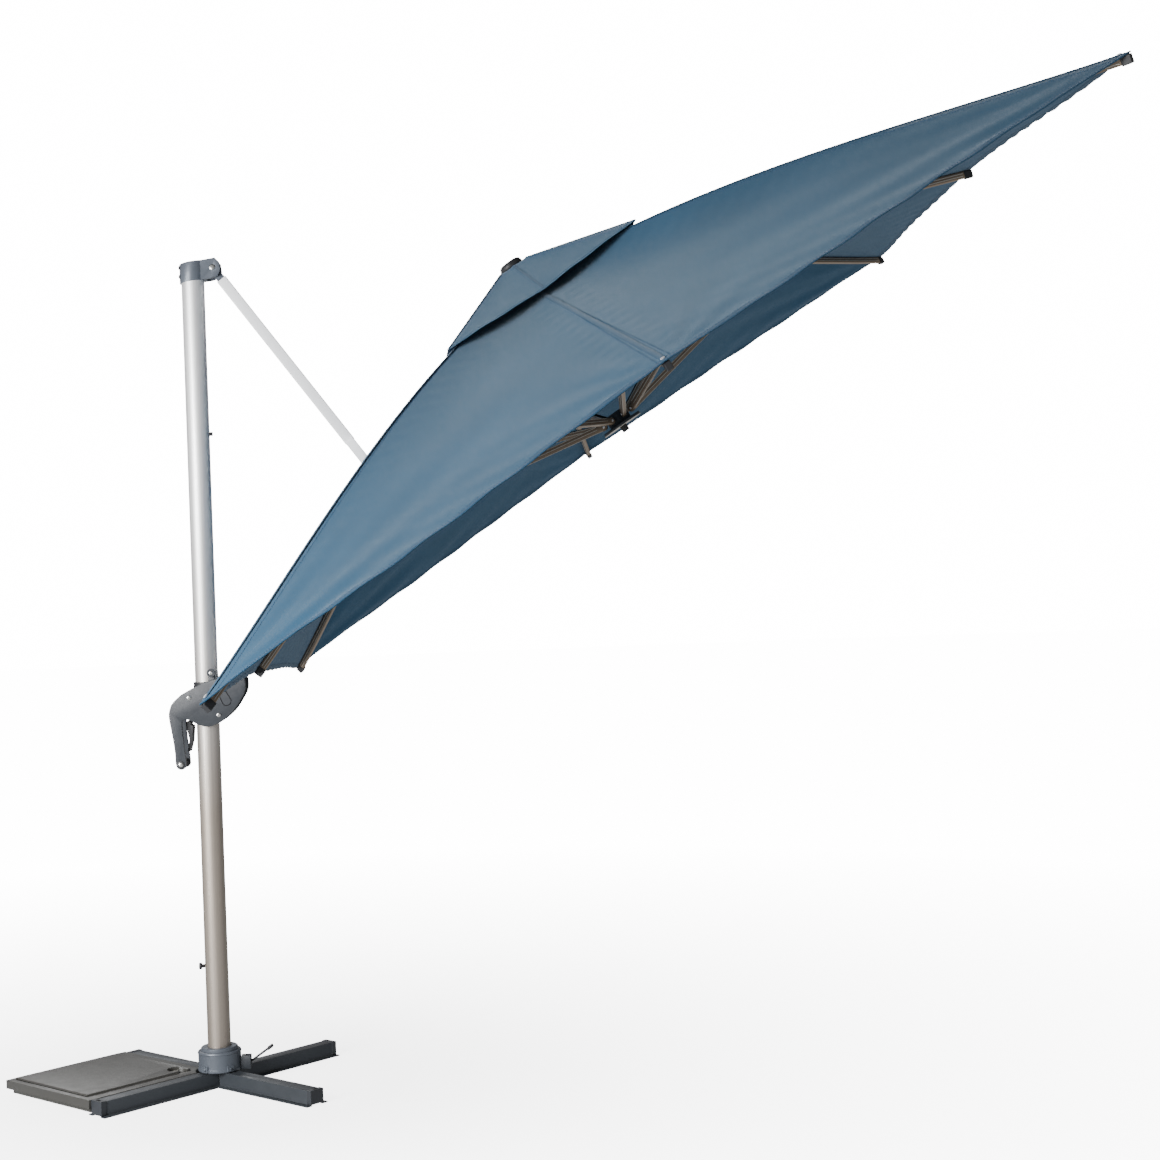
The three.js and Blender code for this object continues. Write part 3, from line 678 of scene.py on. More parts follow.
class Fasteners:
    """Screws, bolts and rivets, by body."""

    def __init__(self, workshop: Workshop) -> None:
        """Args:
            workshop: makes the pieces.
        """
        self.workshop = workshop
        self.heads = HeadTool("screw_heads", {"Radius": 0.007, "Height": 0.004})
        self.stitches = StitchTool("stitch_rows", {"Pitch": 0.009, "Length": 0.0055, "Radius": 0.0006})

    def screws(self, name: str, spots: Sequence[tuple[Vector, Vector]], radius: float, height: float,
               body: str, finish: Finishes = Finishes.STEEL, slot: str = "steel") -> bpy.types.Object:
        """Puts a head at each spot.

        Args:
            name: the piece's name.
            spots: (place, direction that the head faces) pairs.
            radius: the head's radius.
            height: how far it stands up.
            body: the body that the heads ride on.
            finish: their finish.
            slot: the record's slot.

        Returns:
            The heads as one piece.
        """
        guide = guide_mesh([[place] for place, _ in spots], [facing for _, facing in spots])
        mesh = self.heads.run(name, guide, finish, Radius=radius, Height=height)
        mesh.polygons.foreach_set("use_smooth", [True] * len(mesh.polygons))
        mesh.set_sharp_from_angle(angle=math.radians(40))
        return self.workshop.place(name, mesh, [finish], body, slot)

    def sewn(self, name: str, lines: Sequence[Sequence[Vector]], body: str) -> bpy.types.Object:
        """Sews rows of stitches along lines and returns them as one piece."""
        mesh = self.stitches.run(name, guide_mesh(lines), Finishes.THREAD)
        return self.workshop.place(name, mesh, [Finishes.THREAD], body, "canopy_cloth")


# ---------------------------------------------------------------- base
def about_z(angle: float) -> Matrix:
    """A turn about Z."""
    return Matrix.Rotation(angle, 3, "Z")


@dataclass
class Base:
    """The cross base with its end caps, the collar, the pedal and the weight slab."""

    workshop: Workshop
    fasteners: Fasteners
    arm_end: float = 0.488
    arm_width: float = 0.050
    arm_height: float = 0.048
    cap_length: float = 0.020
    cap_proud: float = 0.0018
    collar_radius: float = 0.072
    collar_bottom: float = 0.049
    collar_top: float = 0.128
    bore: float = 0.039
    slab_start: float = 0.027
    slab_end: float = 0.497
    slab_top: float = 0.050
    panel_margins: tuple[float, float] = (0.042, 0.024)
    shadow_width: float = 0.0034

    def build(self) -> None:
        """Builds the whole base."""
        for number in range(1, 5):
            self.workshop.refine(f"base_arm_{number}", 0.0010)
            self.end_cap(number)
        self.workshop.refine("centre_plate", 0.0008)
        self.collar()
        self.workshop.refine("pedal_block", 0.0020)
        self.workshop.refine("pedal_lever", 0.0020, segments=3)
        self.workshop.refine("slab_shell", 0.0028, segments=3)
        self.slab_trim()
        self.workshop.refine("spigot")
        self.workshop.refine("lower_bush")
        self.workshop.refine("upper_bush")
        self.workshop.keep("slab_fill")

    def end_cap(self, number: int) -> None:
        """The plastic cap over one arm's end, with a drain notch in its top, drawn as a thin patch of painted
        shade.
        """
        turn = about_z(math.pi / 4 + (number - 1) * math.pi / 2)
        width = self.arm_width + 2 * self.cap_proud
        top = self.arm_height + self.cap_proud
        middle = Vector((self.arm_end - self.cap_length / 2 + 0.0006, 0, (top + 0.0045) / 2))
        sleeve = block((self.cap_length, width, top - 0.0045), turn @ middle, turn)
        self.workshop.make(f"arm_cap_{number}", sleeve, Finishes.SHELL, "base", "anthracite_plastic", 0.0016)
        # painted shade: a thin dark patch stands for the notch
        notch = block((0.009, 0.016, 0.0012), turn @ Vector((self.arm_end - 0.009, 0, top + 0.0001)), turn)
        self.workshop.make(f"cap_notch_{number}", notch, Finishes.SHADOW, "base", "black_plastic")

    def collar(self) -> None:
        """The collar that the mast turns in, with its groove, its bolt pads and its cover ring."""
        r, low, high, bore = self.collar_radius, self.collar_bottom, self.collar_top, self.bore
        profile = [
            (bore, low), (r - 0.003, low), (r, low + 0.003), (r, low + 0.010), (r - 0.0015, low + 0.0115),
            (r - 0.0015, low + 0.058), (r, low + 0.0595), (r, high - 0.017), (r - 0.002, high - 0.013),
            (r - 0.006, high - 0.011), (r - 0.0065, high - 0.0135), (r - 0.0105, high - 0.0135),
            (r - 0.011, high - 0.003), (r - 0.014, high), (bore + 0.0015, high), (bore, high - 0.0015),
        ]
        side, up, along = Vector((1, 0, 0)), Vector((0, 1, 0)), Vector((0, 0, 1))
        sides = 96
        rings = [[(side * math.cos(a) + up * math.sin(a)) * radius + along * z for radius, z in profile]
                 for a in (2 * math.pi * i / sides for i in range(sides))]
        ring = self.workshop.make("collar_ring", loft(rings, ring=True), Finishes.CASTING, "base",
                                  "anthracite_casting", 0.0006)
        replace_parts(ring, "collar")
        pads, spots = Shape(), []
        for turn in (about_z(math.radians(a)) for a in (-125, -55, 55, 125)):
            pads.extend(block((0.010, 0.024, 0.020), turn @ Vector((r - 0.0015, 0, low + 0.013)), turn))
            spots.append((turn @ Vector((r + 0.0034, 0, low + 0.013)), turn @ Vector((1, 0, 0))))
        self.workshop.make("collar_pads", pads, Finishes.CASTING, "base", "anthracite_casting", 0.0015)
        self.fasteners.screws("collar_bolts", spots, 0.0052, 0.0028, "base", Finishes.CASTING,
                              "anthracite_casting")

    def slab_trim(self) -> None:
        """The shadow line along the two outer edges of the slab's raised panel."""
        turn = about_z(0.75 * math.pi)
        inner, outer = self.panel_margins
        start, end = self.slab_start + inner, self.slab_end - outer
        middle, reach = (start + end) / 2, (end - start) / 2
        line = Shape()
        for offset, size in (((reach, 0), (self.shadow_width, 2 * reach)),
                             ((0, reach), (2 * reach, self.shadow_width))):
            centre = Vector((middle + offset[0], middle + offset[1], self.slab_top + 0.0004))
            line.extend(block((size[0], size[1], 0.0012), turn @ centre, turn))
        self.workshop.make("panel_shadow_line", line, Finishes.SHADOW, "base", "black_plastic")


# ---------------------------------------------------------------- mast, handle, boom and strut
@dataclass
class Mast:
    """The mast with its cap, the cap's bolts and the small stops on the tube."""

    workshop: Workshop
    fasteners: Fasteners
    cheek: float = 0.031

    def build(self) -> None:
        """Builds the mast."""
        shop = self.workshop
        shop.refine("mast_tube")
        shop.refine("mast_cap", 0.0030, segments=3)
        shop.refine("strut_pin")
        shop.refine("stop_bolt", 0.0015)
        shop.refine("stow_knob", 0.0015)
        low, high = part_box("mast_cap")
        pin = Vector(shop.joints["strut_pivot"]["pos_m"])
        self.fasteners.screws("cap_pin_heads", [
            (Vector((pin.x, -self.cheek - 0.0002, pin.z)), Vector((0, -1, 0))),
            (Vector((pin.x, self.cheek + 0.0002, pin.z)), Vector((0, 1, 0))),
        ], 0.0095, 0.0045, "mast")
        spots = []
        for z in (0.28, 0.64):
            for angle in (math.radians(200), math.radians(160)):
                out = Vector((math.cos(angle), math.sin(angle), 0))
                spots.append((out * 0.0427 + Vector((0, 0, low.z + z * (high.z - low.z))), out))
        self.fasteners.screws("cap_clamp_bolts", spots, 0.0062, 0.0042, "mast", Finishes.BLACK, "black_plastic")


@dataclass
class Handle:
    """The sliding handle: two plates with a hook each, the grip, the trigger and the roller."""

    workshop: Workshop
    fasteners: Fasteners
    face: float = 0.058
    screw_places: tuple[tuple[float, float], ...] = ((-0.053, 1.293), (0.097, 1.337), (0.043, 1.232))
    grip_place: tuple[float, float] = (-0.086, 1.072)
    slot_place: tuple[float, float] = (0.004, 1.272)
    loop_bottom: tuple[float, float] = (0.070, 1.262)
    roller_place: tuple[float, float] = (0.023, 1.372)

    def build(self) -> None:
        """Builds the handle."""
        shop = self.workshop
        for side in ("left", "right"):
            shop.refine(f"handle_plate_{side}", 0.0042, segments=3)
        shop.refine("slide_liner")
        shop.refine("boom_pin")
        shop.refine("release_trigger", 0.0030, segments=3)
        self.plate_trim()
        self.grip()
        self.roller()

    def plate_trim(self) -> None:
        """Screws, and patches of painted shade for the latch window and the lever's U-shaped gap, on both plates.
        """
        spots, windows, gaps = [], Shape(), Shape()
        for sign in (-1, 1):
            out = Vector((0, sign, 0))
            spots += [(Vector((x, sign * (self.face - 0.0003), z)), out) for x, z in self.screw_places]
            x, z = self.slot_place
            tilt = Matrix.Rotation(math.radians(-24), 3, "Y")
            windows.extend(block((0.026, 0.0012, 0.011), Vector((x, sign * (self.face + 0.0001), z)), tilt))
            gaps.extend(self.loop_gap(sign))
        self.fasteners.screws("plate_screws", spots, 0.0072, 0.0036, "slider")
        self.workshop.make("latch_windows", windows, Finishes.SHADOW, "slider", "black_plastic")
        self.workshop.make("lever_gaps", gaps, Finishes.SHADOW, "slider", "black_plastic")

    def loop_gap(self, sign: int) -> Shape:
        """The U-shaped line of painted shade in the gap round the inner lever, on one plate."""
        x, z = self.loop_bottom
        radius, leg, lean = 0.015, 0.042, math.radians(22)
        path = [(-radius, leg)] + [
            (radius * math.cos(a), radius * math.sin(a))
            for a in (math.pi + math.pi * i / 12 for i in range(13))
        ] + [(radius * 0.6, leg)]
        middle = Vector((x, sign * (self.face + 0.0001), z + radius))
        turn = Matrix.Rotation(-lean, 3, "Y")
        sections = []
        for i, (u, w) in enumerate(path):
            before, after = path[max(0, i - 1)], path[min(len(path) - 1, i + 1)]
            run = Vector((after[0] - before[0], 0, after[1] - before[1])).normalized()
            across = Vector((run.z, 0, -run.x)) * 0.0013
            here = Vector((u, 0, w))
            thick = Vector((0, 0.0005, 0))
            sections.append([middle + turn @ (here + across + thick), middle + turn @ (here - across + thick),
                             middle + turn @ (here - across - thick), middle + turn @ (here + across - thick)])
        return loft(sections)

    def grip(self) -> None:
        """The grip: a rubber sleeve with rings, between the hooks, and a bright cap at each end."""
        x, z = self.grip_place
        axis = Vector((0, 1, 0))
        half, radius, rings = 0.0437, 0.015, 9
        profile = [(0.0, -half), (radius - 0.002, -half), (radius, -half + 0.002)]
        step = (2 * half - 0.012) / rings
        for i in range(rings):
            place = -half + 0.006 + i * step
            profile += [(radius, place + 0.15 * step), (radius - 0.0012, place + 0.3 * step),
                        (radius - 0.0012, place + 0.7 * step), (radius, place + 0.85 * step)]
        profile += [(radius, half - 0.002), (radius - 0.002, half), (0.0, half)]
        sleeve = self.workshop.make("grip_sleeve", turned(profile, Vector((x, 0, z)), axis, 40),
                                    Finishes.RUBBER, "slider", "black_plastic")
        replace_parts(sleeve, "grip_bar")
        rings_made, caps = Shape(), []
        for sign in (-1, 1):
            out = Vector((0, sign, 0))
            face = Vector((x, sign * (self.face - 0.0004), z))
            rings_made.extend(turned([(0.0, 0), (0.0125, 0), (0.0125, 0.0012), (0.0105, 0.0022), (0.0, 0.0022)],
                                     face, out, 40))
            caps.append((face + out * 0.0020, out))
        self.workshop.make("grip_end_rings", rings_made, Finishes.BLACK, "slider", "black_plastic")
        self.fasteners.screws("grip_end_caps", caps, 0.0075, 0.0022, "slider")

    def roller(self) -> None:
        """The guide roller on its stub, with a bright screw in its middle."""
        x, z = self.roller_place
        low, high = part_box("guide_roller")
        width = high.y - low.y
        profile = [(0.0, 0), (0.0125, 0), (0.014, 0.0012), (0.014, width - 0.0012), (0.0125, width),
                   (0.0095, width), (0.009, width - 0.001), (0.0, width - 0.001)]
        wheel = self.workshop.make("roller_wheel", turned(profile, Vector((x, high.y, z)), Vector((0, -1, 0)), 40),
                                   Finishes.SHELL, "slider", "black_plastic")
        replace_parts(wheel, "guide_roller")
        self.fasteners.screws("roller_screw", [(Vector((x, low.y + 0.0008, z)), Vector((0, -1, 0)))],
                              0.0068, 0.0026, "slider")


@dataclass
class BoomAndStrut:
    """The boom, the strut, their end castings and the bolts at their pivots."""

    workshop: Workshop
    fasteners: Fasteners
    yoke_face: float = 0.032

    def build(self) -> None:
        """Builds both bars."""
        shop = self.workshop
        shop.refine("boom_tube", finish=Finishes.STRUT, angle=50)
        shop.refine("boom_foot", 0.0015)
        shop.refine("strut_tube", finish=Finishes.STRUT, angle=50)
        shop.refine("strut_eye", 0.0015)
        shop.refine("strut_yoke", 0.0012, Finishes.STRUT)
        low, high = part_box("strut_yoke")
        pivot = Vector((high.x - 0.016, 0, low.z + 0.016))
        self.fasteners.screws("yoke_bolts", [
            (Vector((pivot.x, sign * self.yoke_face, pivot.z)), Vector((0, sign, 0))) for sign in (-1, 1)
        ], 0.009, 0.0045, "strut")


# ---------------------------------------------------------------- canopy
@dataclass
class CanopyShape:
    """Where the canopy's cloth, ribs and stretchers lie, in the canopy's own frame and in the world."""

    workshop: Workshop
    half: float = 1.5
    crown: float = -0.060
    mid_drop: float = 0.558
    corner_drop: float = 0.595
    sag: float = 0.014
    slack: float = 0.007
    scallop: float = 0.015
    opening: float = 0.170
    pivot_depth: float = 0.100
    pivot_radius: float = 0.060
    rib_below: float = 0.017
    rib_short: float = 0.012
    runner_depth: float = 0.620
    stretcher_offset: float = 0.016
    bow_rise: float = 0.058
    bow_power: float = 1.5
    bow_share: float = 0.93
    vent_half: float = 0.370
    vent_top: float = -0.002
    vent_flat: float = 0.050
    vent_edge: float = -0.160
    vent_inner: float = -0.126
    vent_corner: float = -0.145

    def __post_init__(self) -> None:
        """Finds the canopy's place and lean from the joints."""
        joints = self.workshop.joints
        self.up = -Vector(joints["canopy_fold"]["axis"]).normalized()
        outer, inner = (Vector(joints[f"rib_{k}_fold"]["pos_m"]) for k in (1, 5))
        self.apex = (outer + inner) / 2 + self.up * self.pivot_depth
        self.side = Vector((0, 1, 0))
        self.out = self.side.cross(self.up).normalized()
        self.basis = np.array([self.out, self.side, self.up])

    def world(self, points: np.ndarray) -> np.ndarray:
        """Points of the canopy's frame, moved to the world."""
        return points @ self.basis + np.array(self.apex)

    def spot(self, x: float, y: float, z: float) -> Vector:
        """One point of the canopy's frame, in the world."""
        return self.apex + self.out * x + self.side * y + self.up * z

    def turn(self, vector: Sequence[float]) -> Vector:
        """A direction of the canopy's frame, in the world."""
        return self.out * vector[0] + self.side * vector[1] + self.up * vector[2]

    @staticmethod
    def rib_angle(number: int) -> float:
        """The direction of rib 1 to 8 round the crown."""
        return (number - 1) * math.pi / 4

    def edge(self, angle: np.ndarray) -> tuple[np.ndarray, np.ndarray]:
        """How far the straight edge lies from the crown in plan, and how near a corner, from 0 to 1."""
        wide = np.maximum(np.abs(np.cos(angle)), np.abs(np.sin(angle)))
        narrow = np.minimum(np.abs(np.cos(angle)), np.abs(np.sin(angle)))
        return self.half / wide, narrow / wide

    def bow(self, share: np.ndarray) -> np.ndarray:
        """How far a bent corner rib rises above its chord, at a share of the way along it."""
        s = np.clip(share, 0, 1)
        highest = 1 / (1 + self.bow_power)
        peak = highest * (1 - highest) ** self.bow_power
        return self.bow_rise * s * (1 - s) ** self.bow_power / peak

    def rib_rise(self, number: int, share: float) -> float:
        """How far a rib's middle rises from the line between its pivot and its tip."""
        if number % 2:
            return 0.0
        pivot, tip, _ = self.rib_line(number)
        flat = abs((tip - pivot).normalized().dot(self.up))
        return self.bow_share * float(self.bow(np.array(share))) * math.sqrt(1 - flat * flat)

    def surface(self, angle: np.ndarray, t: np.ndarray) -> np.ndarray:
        """The canopy cloth's top.

        Args:
            angle: directions round the crown.
            t: places from the crown, 0, to the edge, 1.

        Returns:
            Points in the canopy's frame.
        """
        reach, near = self.edge(angle)
        arch = np.sin(np.pi * near)
        pull = 1 - self.scallop / self.half * arch * t ** 4
        along = reach * t * pull
        drop = self.mid_drop + (self.corner_drop - self.mid_drop) * near
        belly = (self.sag + self.slack * t) * arch * np.sin(np.pi * np.minimum(1, 0.8 * t + 0.1))
        x, y = along * np.cos(angle), along * np.sin(angle)
        hub = self.pivot_radius / (self.half * math.sqrt(2))
        bow = self.bow((t - hub) / (1 - hub)) * near ** 2
        z = self.crown - drop * t * pull - belly + bow + self.folds(angle, x, y, t, arch)
        return np.stack([x, y, z], axis=-1)

    def folds(self, angle: np.ndarray, x: np.ndarray, y: np.ndarray, t: np.ndarray,
              arch: np.ndarray) -> np.ndarray:
        """The small ups and downs of cloth that is pulled tight between ribs and corners."""
        swing = (angle + math.pi / 8) % (math.pi / 4) - math.pi / 8
        off_rib = np.hypot(x, y) * np.sin(np.abs(swing))
        clear = np.clip((off_rib - 0.014) / 0.05, 0, 1)
        clear = clear * clear * (3 - 2 * clear)
        billow = 0.0045 * np.sin(3.9 * x + 1.3 * y + 0.4) * np.sin(3.1 * y - 1.7 * x + 1.1) * np.sqrt(arch)
        dx, dy = self.half - np.abs(x), self.half - np.abs(y)
        corner = np.hypot(dx, dy)
        bearing = np.arctan2(dy, dx)
        fade = np.exp(-corner / 0.75) * np.clip(corner / 0.25, 0, 1)
        tension = 0.0052 * fade * (np.sin(19 * bearing + 3.5 * corner) + 0.6 * np.sin(31 * bearing - 2.0 * corner))
        mid_x, mid_y = np.minimum(np.abs(x), np.abs(y)), self.half - np.maximum(np.abs(x), np.abs(y))
        mid = np.hypot(mid_x, mid_y)
        mid_fade = np.exp(-mid / 0.4) * np.clip(mid / 0.15, 0, 1)
        pulled = 0.0028 * mid_fade * np.sin(13 * np.arctan2(mid_y, mid_x))
        ripple = 0.0022 * t ** 10 * np.sin((x + 1.7 * y) * 2 * math.pi / 0.21) * arch
        pucker = 0.0011 * np.exp(-(off_rib / 0.07) ** 2) * np.sin(2 * math.pi * np.hypot(x, y) / 0.075)
        return clear * (billow + tension + pulled + ripple + pucker)

    def vent(self, angle: np.ndarray, t: np.ndarray) -> np.ndarray:
        """The vent cloth's top, over the opening at the crown."""
        wide = np.maximum(np.abs(np.cos(angle)), np.abs(np.sin(angle)))
        near = np.minimum(np.abs(np.cos(angle)), np.abs(np.sin(angle))) / wide
        arch = np.sin(np.pi * near)
        along = self.vent_half / wide * t * (1 - 0.016 * arch * t ** 3)
        inner = (np.cos(angle) < 0) & (np.abs(np.cos(angle)) >= np.abs(np.sin(angle)))
        mid = np.where(inner, self.vent_inner, self.vent_edge)
        edge = mid + (self.vent_corner - mid) * near
        x, y = along * np.cos(angle), along * np.sin(angle)
        reach = np.maximum(np.abs(x), np.abs(y))
        slope = np.clip((reach - self.vent_flat) / (self.vent_half - self.vent_flat), 0, 1)
        belly = 0.004 * arch * np.sin(np.pi * t) + 0.0015 * t ** 6 * np.sin(38 * x + 31 * y) * arch
        z = self.vent_top + (edge - self.vent_top) * slope - belly
        return np.stack([x, y, z], axis=-1)

    def rib_line(self, number: int) -> tuple[Vector, Vector, Vector]:
        """One rib's pivot, its tip and the direction across it, in the world."""
        angle = self.rib_angle(number)
        reach, near = (float(v) for v in self.edge(np.array(angle)))
        drop = self.mid_drop + (self.corner_drop - self.mid_drop) * near
        tip = reach - self.rib_short
        depth = self.crown - drop * tip / reach - self.rib_below
        c, s = math.cos(angle), math.sin(angle)
        pivot = self.spot(self.pivot_radius * c, self.pivot_radius * s, -self.pivot_depth)
        return pivot, self.spot(tip * c, tip * s, depth), self.turn((-s, c, 0))


def cloth_map(mesh: bpy.types.Mesh, flat: np.ndarray) -> None:
    """Gives cloth a map in metres whose lines run along and across the nearest hem.

    Args:
        mesh: the cloth, whose points are in the order of flat.
        flat: each point's place in the canopy's frame.
    """
    layer = mesh.uv_layers.new(name="cloth")
    corner_points = np.zeros(len(mesh.loops), np.int32)
    mesh.loops.foreach_get("vertex_index", corner_points)
    starts = np.zeros(len(mesh.polygons), np.int32)
    mesh.polygons.foreach_get("loop_start", starts)
    totals = np.zeros(len(mesh.polygons), np.int32)
    mesh.polygons.foreach_get("loop_total", totals)
    centres = np.add.reduceat(flat[corner_points], starts, axis=0) / totals[:, None]
    across = np.repeat(np.abs(centres[:, 0]) >= np.abs(centres[:, 1]), totals)
    signs = np.repeat(np.sign(np.where(np.abs(centres[:, 0]) >= np.abs(centres[:, 1]),
                                       centres[:, 0], centres[:, 1])), totals)
    x, y = flat[corner_points, 0], flat[corner_points, 1]
    u = np.where(across, y * signs, -x * signs)
    v = np.where(across, np.abs(x), np.abs(y)) * 1.07
    layer.data.foreach_set("uv", np.stack([u, v], axis=-1).astype(np.float32).ravel())


@dataclass
class Canopy:
    """The canopy: cloth over eight ribs, the vent, the hub and the runner with its stretchers."""

    workshop: Workshop
    fasteners: Fasteners
    shape: CanopyShape
    cloth_thick: float = 0.0012
    flat_ease: float = 1.01
    cells_across: int = 56
    cells_along: int = 96
    fold_keep: float = 0.05
    seam_half: float = 0.009
    stretcher_reach: tuple[float, float] = (0.9957, 0.9619)
    hem_width: float = 0.024

    def build(self) -> None:
        """Builds the canopy."""
        for number in range(1, 9):
            self.panel(number)
            self.rib(number)
        self.vent()
        self.hub()

    def squash(self, piece: bpy.types.Object, number: int) -> None:
        """Gives a piece of a panel its own copy of its mesh."""
        pivot, _, across = self.shape.rib_line(number)
        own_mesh(piece)

    def grid(self, surface: Callable[[np.ndarray, np.ndarray], np.ndarray], middle: float, half_swing: float,
             start: float, across: int, along: int) -> np.ndarray:
        """Points of a cloth surface on a grid.

        Args:
            surface: the surface, in the canopy's frame.
            middle: the direction of the grid's middle.
            half_swing: how far it reaches to each side.
            start: where it starts, as a share of the way to the edge.
            across: the number of cells round the crown.
            along: the number of cells away from it.

        Returns:
            An array of points, across first.
        """
        swing = np.linspace(half_swing, -half_swing, across + 1)
        t = start + (1 - start) * np.linspace(0, 1, along + 1)
        angle, place = np.meshgrid(middle + swing, t, indexing="ij")
        return surface(angle, place)

    def cloth(self, name: str, points: np.ndarray, body: str) -> tuple[bpy.types.Object, float]:
        """A thin closed sheet under a grid of points, with the underside's painted-shade colour below.

        Args:
            name: the piece's name.
            points: the top, in the canopy's frame.
            body: the body that it rides on.

        Returns:
            The piece and the area of its top.
        """
        rows, columns = points.shape[:2]
        step_u = np.gradient(points, axis=0)
        step_v = np.gradient(points, axis=1)
        normal = np.cross(step_v, step_u)
        normal /= np.linalg.norm(normal, axis=-1, keepdims=True)
        if normal[..., 2].mean() < 0:
            normal = -normal
        layers = np.concatenate([points.reshape(-1, 3), (points - normal * self.cloth_thick).reshape(-1, 3)])
        count = rows * columns
        index = np.arange(count).reshape(rows, columns)
        a, b, c, d = index[:-1, :-1].ravel(), index[1:, :-1].ravel(), index[1:, 1:].ravel(), index[:-1, 1:].ravel()
        top = np.stack([a, b, c, d], axis=-1)
        faces = [tuple(f) for f in top.tolist()] + [tuple(f) for f in (top[:, ::-1] + count).tolist()]
        rim = np.concatenate([index[:-1, 0], index[-1, :-1], index[:0:-1, -1], index[0, :0:-1]]).tolist()
        for i, here in enumerate(rim):
            there = rim[(i + 1) % len(rim)]
            faces.append((there, here, here + count, there + count))
        mesh = bpy.data.meshes.new(name)
        mesh.from_pydata(self.shape.world(layers).tolist(), [], faces)
        cells = len(top)
        paints = [0] * cells + [1] * cells + [0] * len(rim)
        mesh.polygons.foreach_set("material_index", paints)
        mesh.polygons.foreach_set("use_smooth", [True] * len(mesh.polygons))
        if mesh.polygons[0].normal.dot(self.shape.up) < 0:
            mesh.flip_normals()
        cloth_map(mesh, layers)
        mesh.set_sharp_from_angle(angle=math.radians(50))
        # the lower layer gets the underside's painted-shade colour
        piece = self.workshop.place(name, mesh, [Finishes.CLOTH, Finishes.SHADED_UNDERSIDE], body, "canopy_cloth")
        area = float(sum(p.area for p in mesh.polygons[:cells]))
        return piece, area

    def ribbon(self, name: str, centre: np.ndarray, across: np.ndarray, up: np.ndarray, half: float,
               rise: float, sink: float, body: str) -> bpy.types.Object:
        """A flat tape along a line on the cloth.

        Args:
            name: the piece's name.
            centre: the line's points in the canopy's frame.
            across: a unit vector across the tape at each point.
            up: a unit vector out of the cloth at each point.
            half: half of the tape's width.
            rise: how far the tape stands above the line.
            sink: how far it reaches below the line.
            body: the body that it rides on.

        Returns:
            The piece.
        """
        profile = [(-half, -sink), (half, -sink), (half, rise * 0.5), (half * 0.86, rise), (-half * 0.86, rise),
                   (-half, rise * 0.5)]
        sections = np.stack([centre + across * u + up * w for u, w in profile], axis=1)
        world = self.shape.world(sections.reshape(-1, 3)).reshape(sections.shape)
        shape = loft([[Vector(p) for p in section] for section in world])
        mesh = shape.mesh(name)
        local = (np.array([v.co for v in mesh.vertices]) - np.array(self.shape.apex)) @ self.shape.basis.T
        cloth_map(mesh, local)
        mesh.polygons.foreach_set("use_smooth", [True] * len(mesh.polygons))
        mesh.set_sharp_from_angle(angle=math.radians(50))
        return self.workshop.place(name, mesh, [Finishes.SEAM], body, "canopy_cloth")

    def panel(self, number: int) -> None:
        """The cloth over one rib, out to the middle of the panel on each side, with its seam and hem."""
        form, body = self.shape, f"rib_{number}"
        middle = form.rib_angle(number)
        start = form.opening / form.half
        points = self.grid(form.surface, middle, math.pi / 8, start, self.cells_across, self.cells_along)
        piece, area = self.cloth(f"cloth_{number}", points, body)
        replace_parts(piece, f"canopy_{number}")
        line = points[self.cells_across // 2]
        tangent = np.gradient(line, axis=0)
        tangent /= np.linalg.norm(tangent, axis=-1, keepdims=True)
        side = np.array([-math.sin(middle), math.cos(middle), 0.0])
        across = np.broadcast_to(side, line.shape)
        up = np.cross(tangent, across)
        seam = self.ribbon(f"seam_{number}", line[:-1], across[:-1], up[:-1], self.seam_half, 0.0013, 0.0008, body)
        hem = self.hem(number, points, body)
        rows = [self.lifted(points, self.cells_across // 2 + offset) for offset in (-1, 1)]
        rows += self.hem_rows(points)
        stitches = self.fasteners.sewn(f"stitches_{number}", rows, body)
        for part in (piece, seam, hem, stitches):
            self.squash(part, number)

    def lifted(self, points: np.ndarray, row: int) -> list[Vector]:
        """A line of the grid, just above the cloth, for stitches."""
        world = self.shape.world(points[row] + np.array([0, 0, 0.0012]))
        return [Vector(p) for p in world]

    def hem_rows(self, points: np.ndarray) -> list[list[Vector]]:
        """Two rows of stitches along the hem."""
        edge, inner = points[:, -1], points[:, -2]
        inward = inner - edge
        inward /= np.linalg.norm(inward, axis=-1, keepdims=True)
        rows = []
        for distance in (0.004, self.hem_width - 0.004):
            line = edge + inward * distance + np.array([0, 0, 0.0016])
            rows.append([Vector(p) for p in self.shape.world(line)])
        return rows

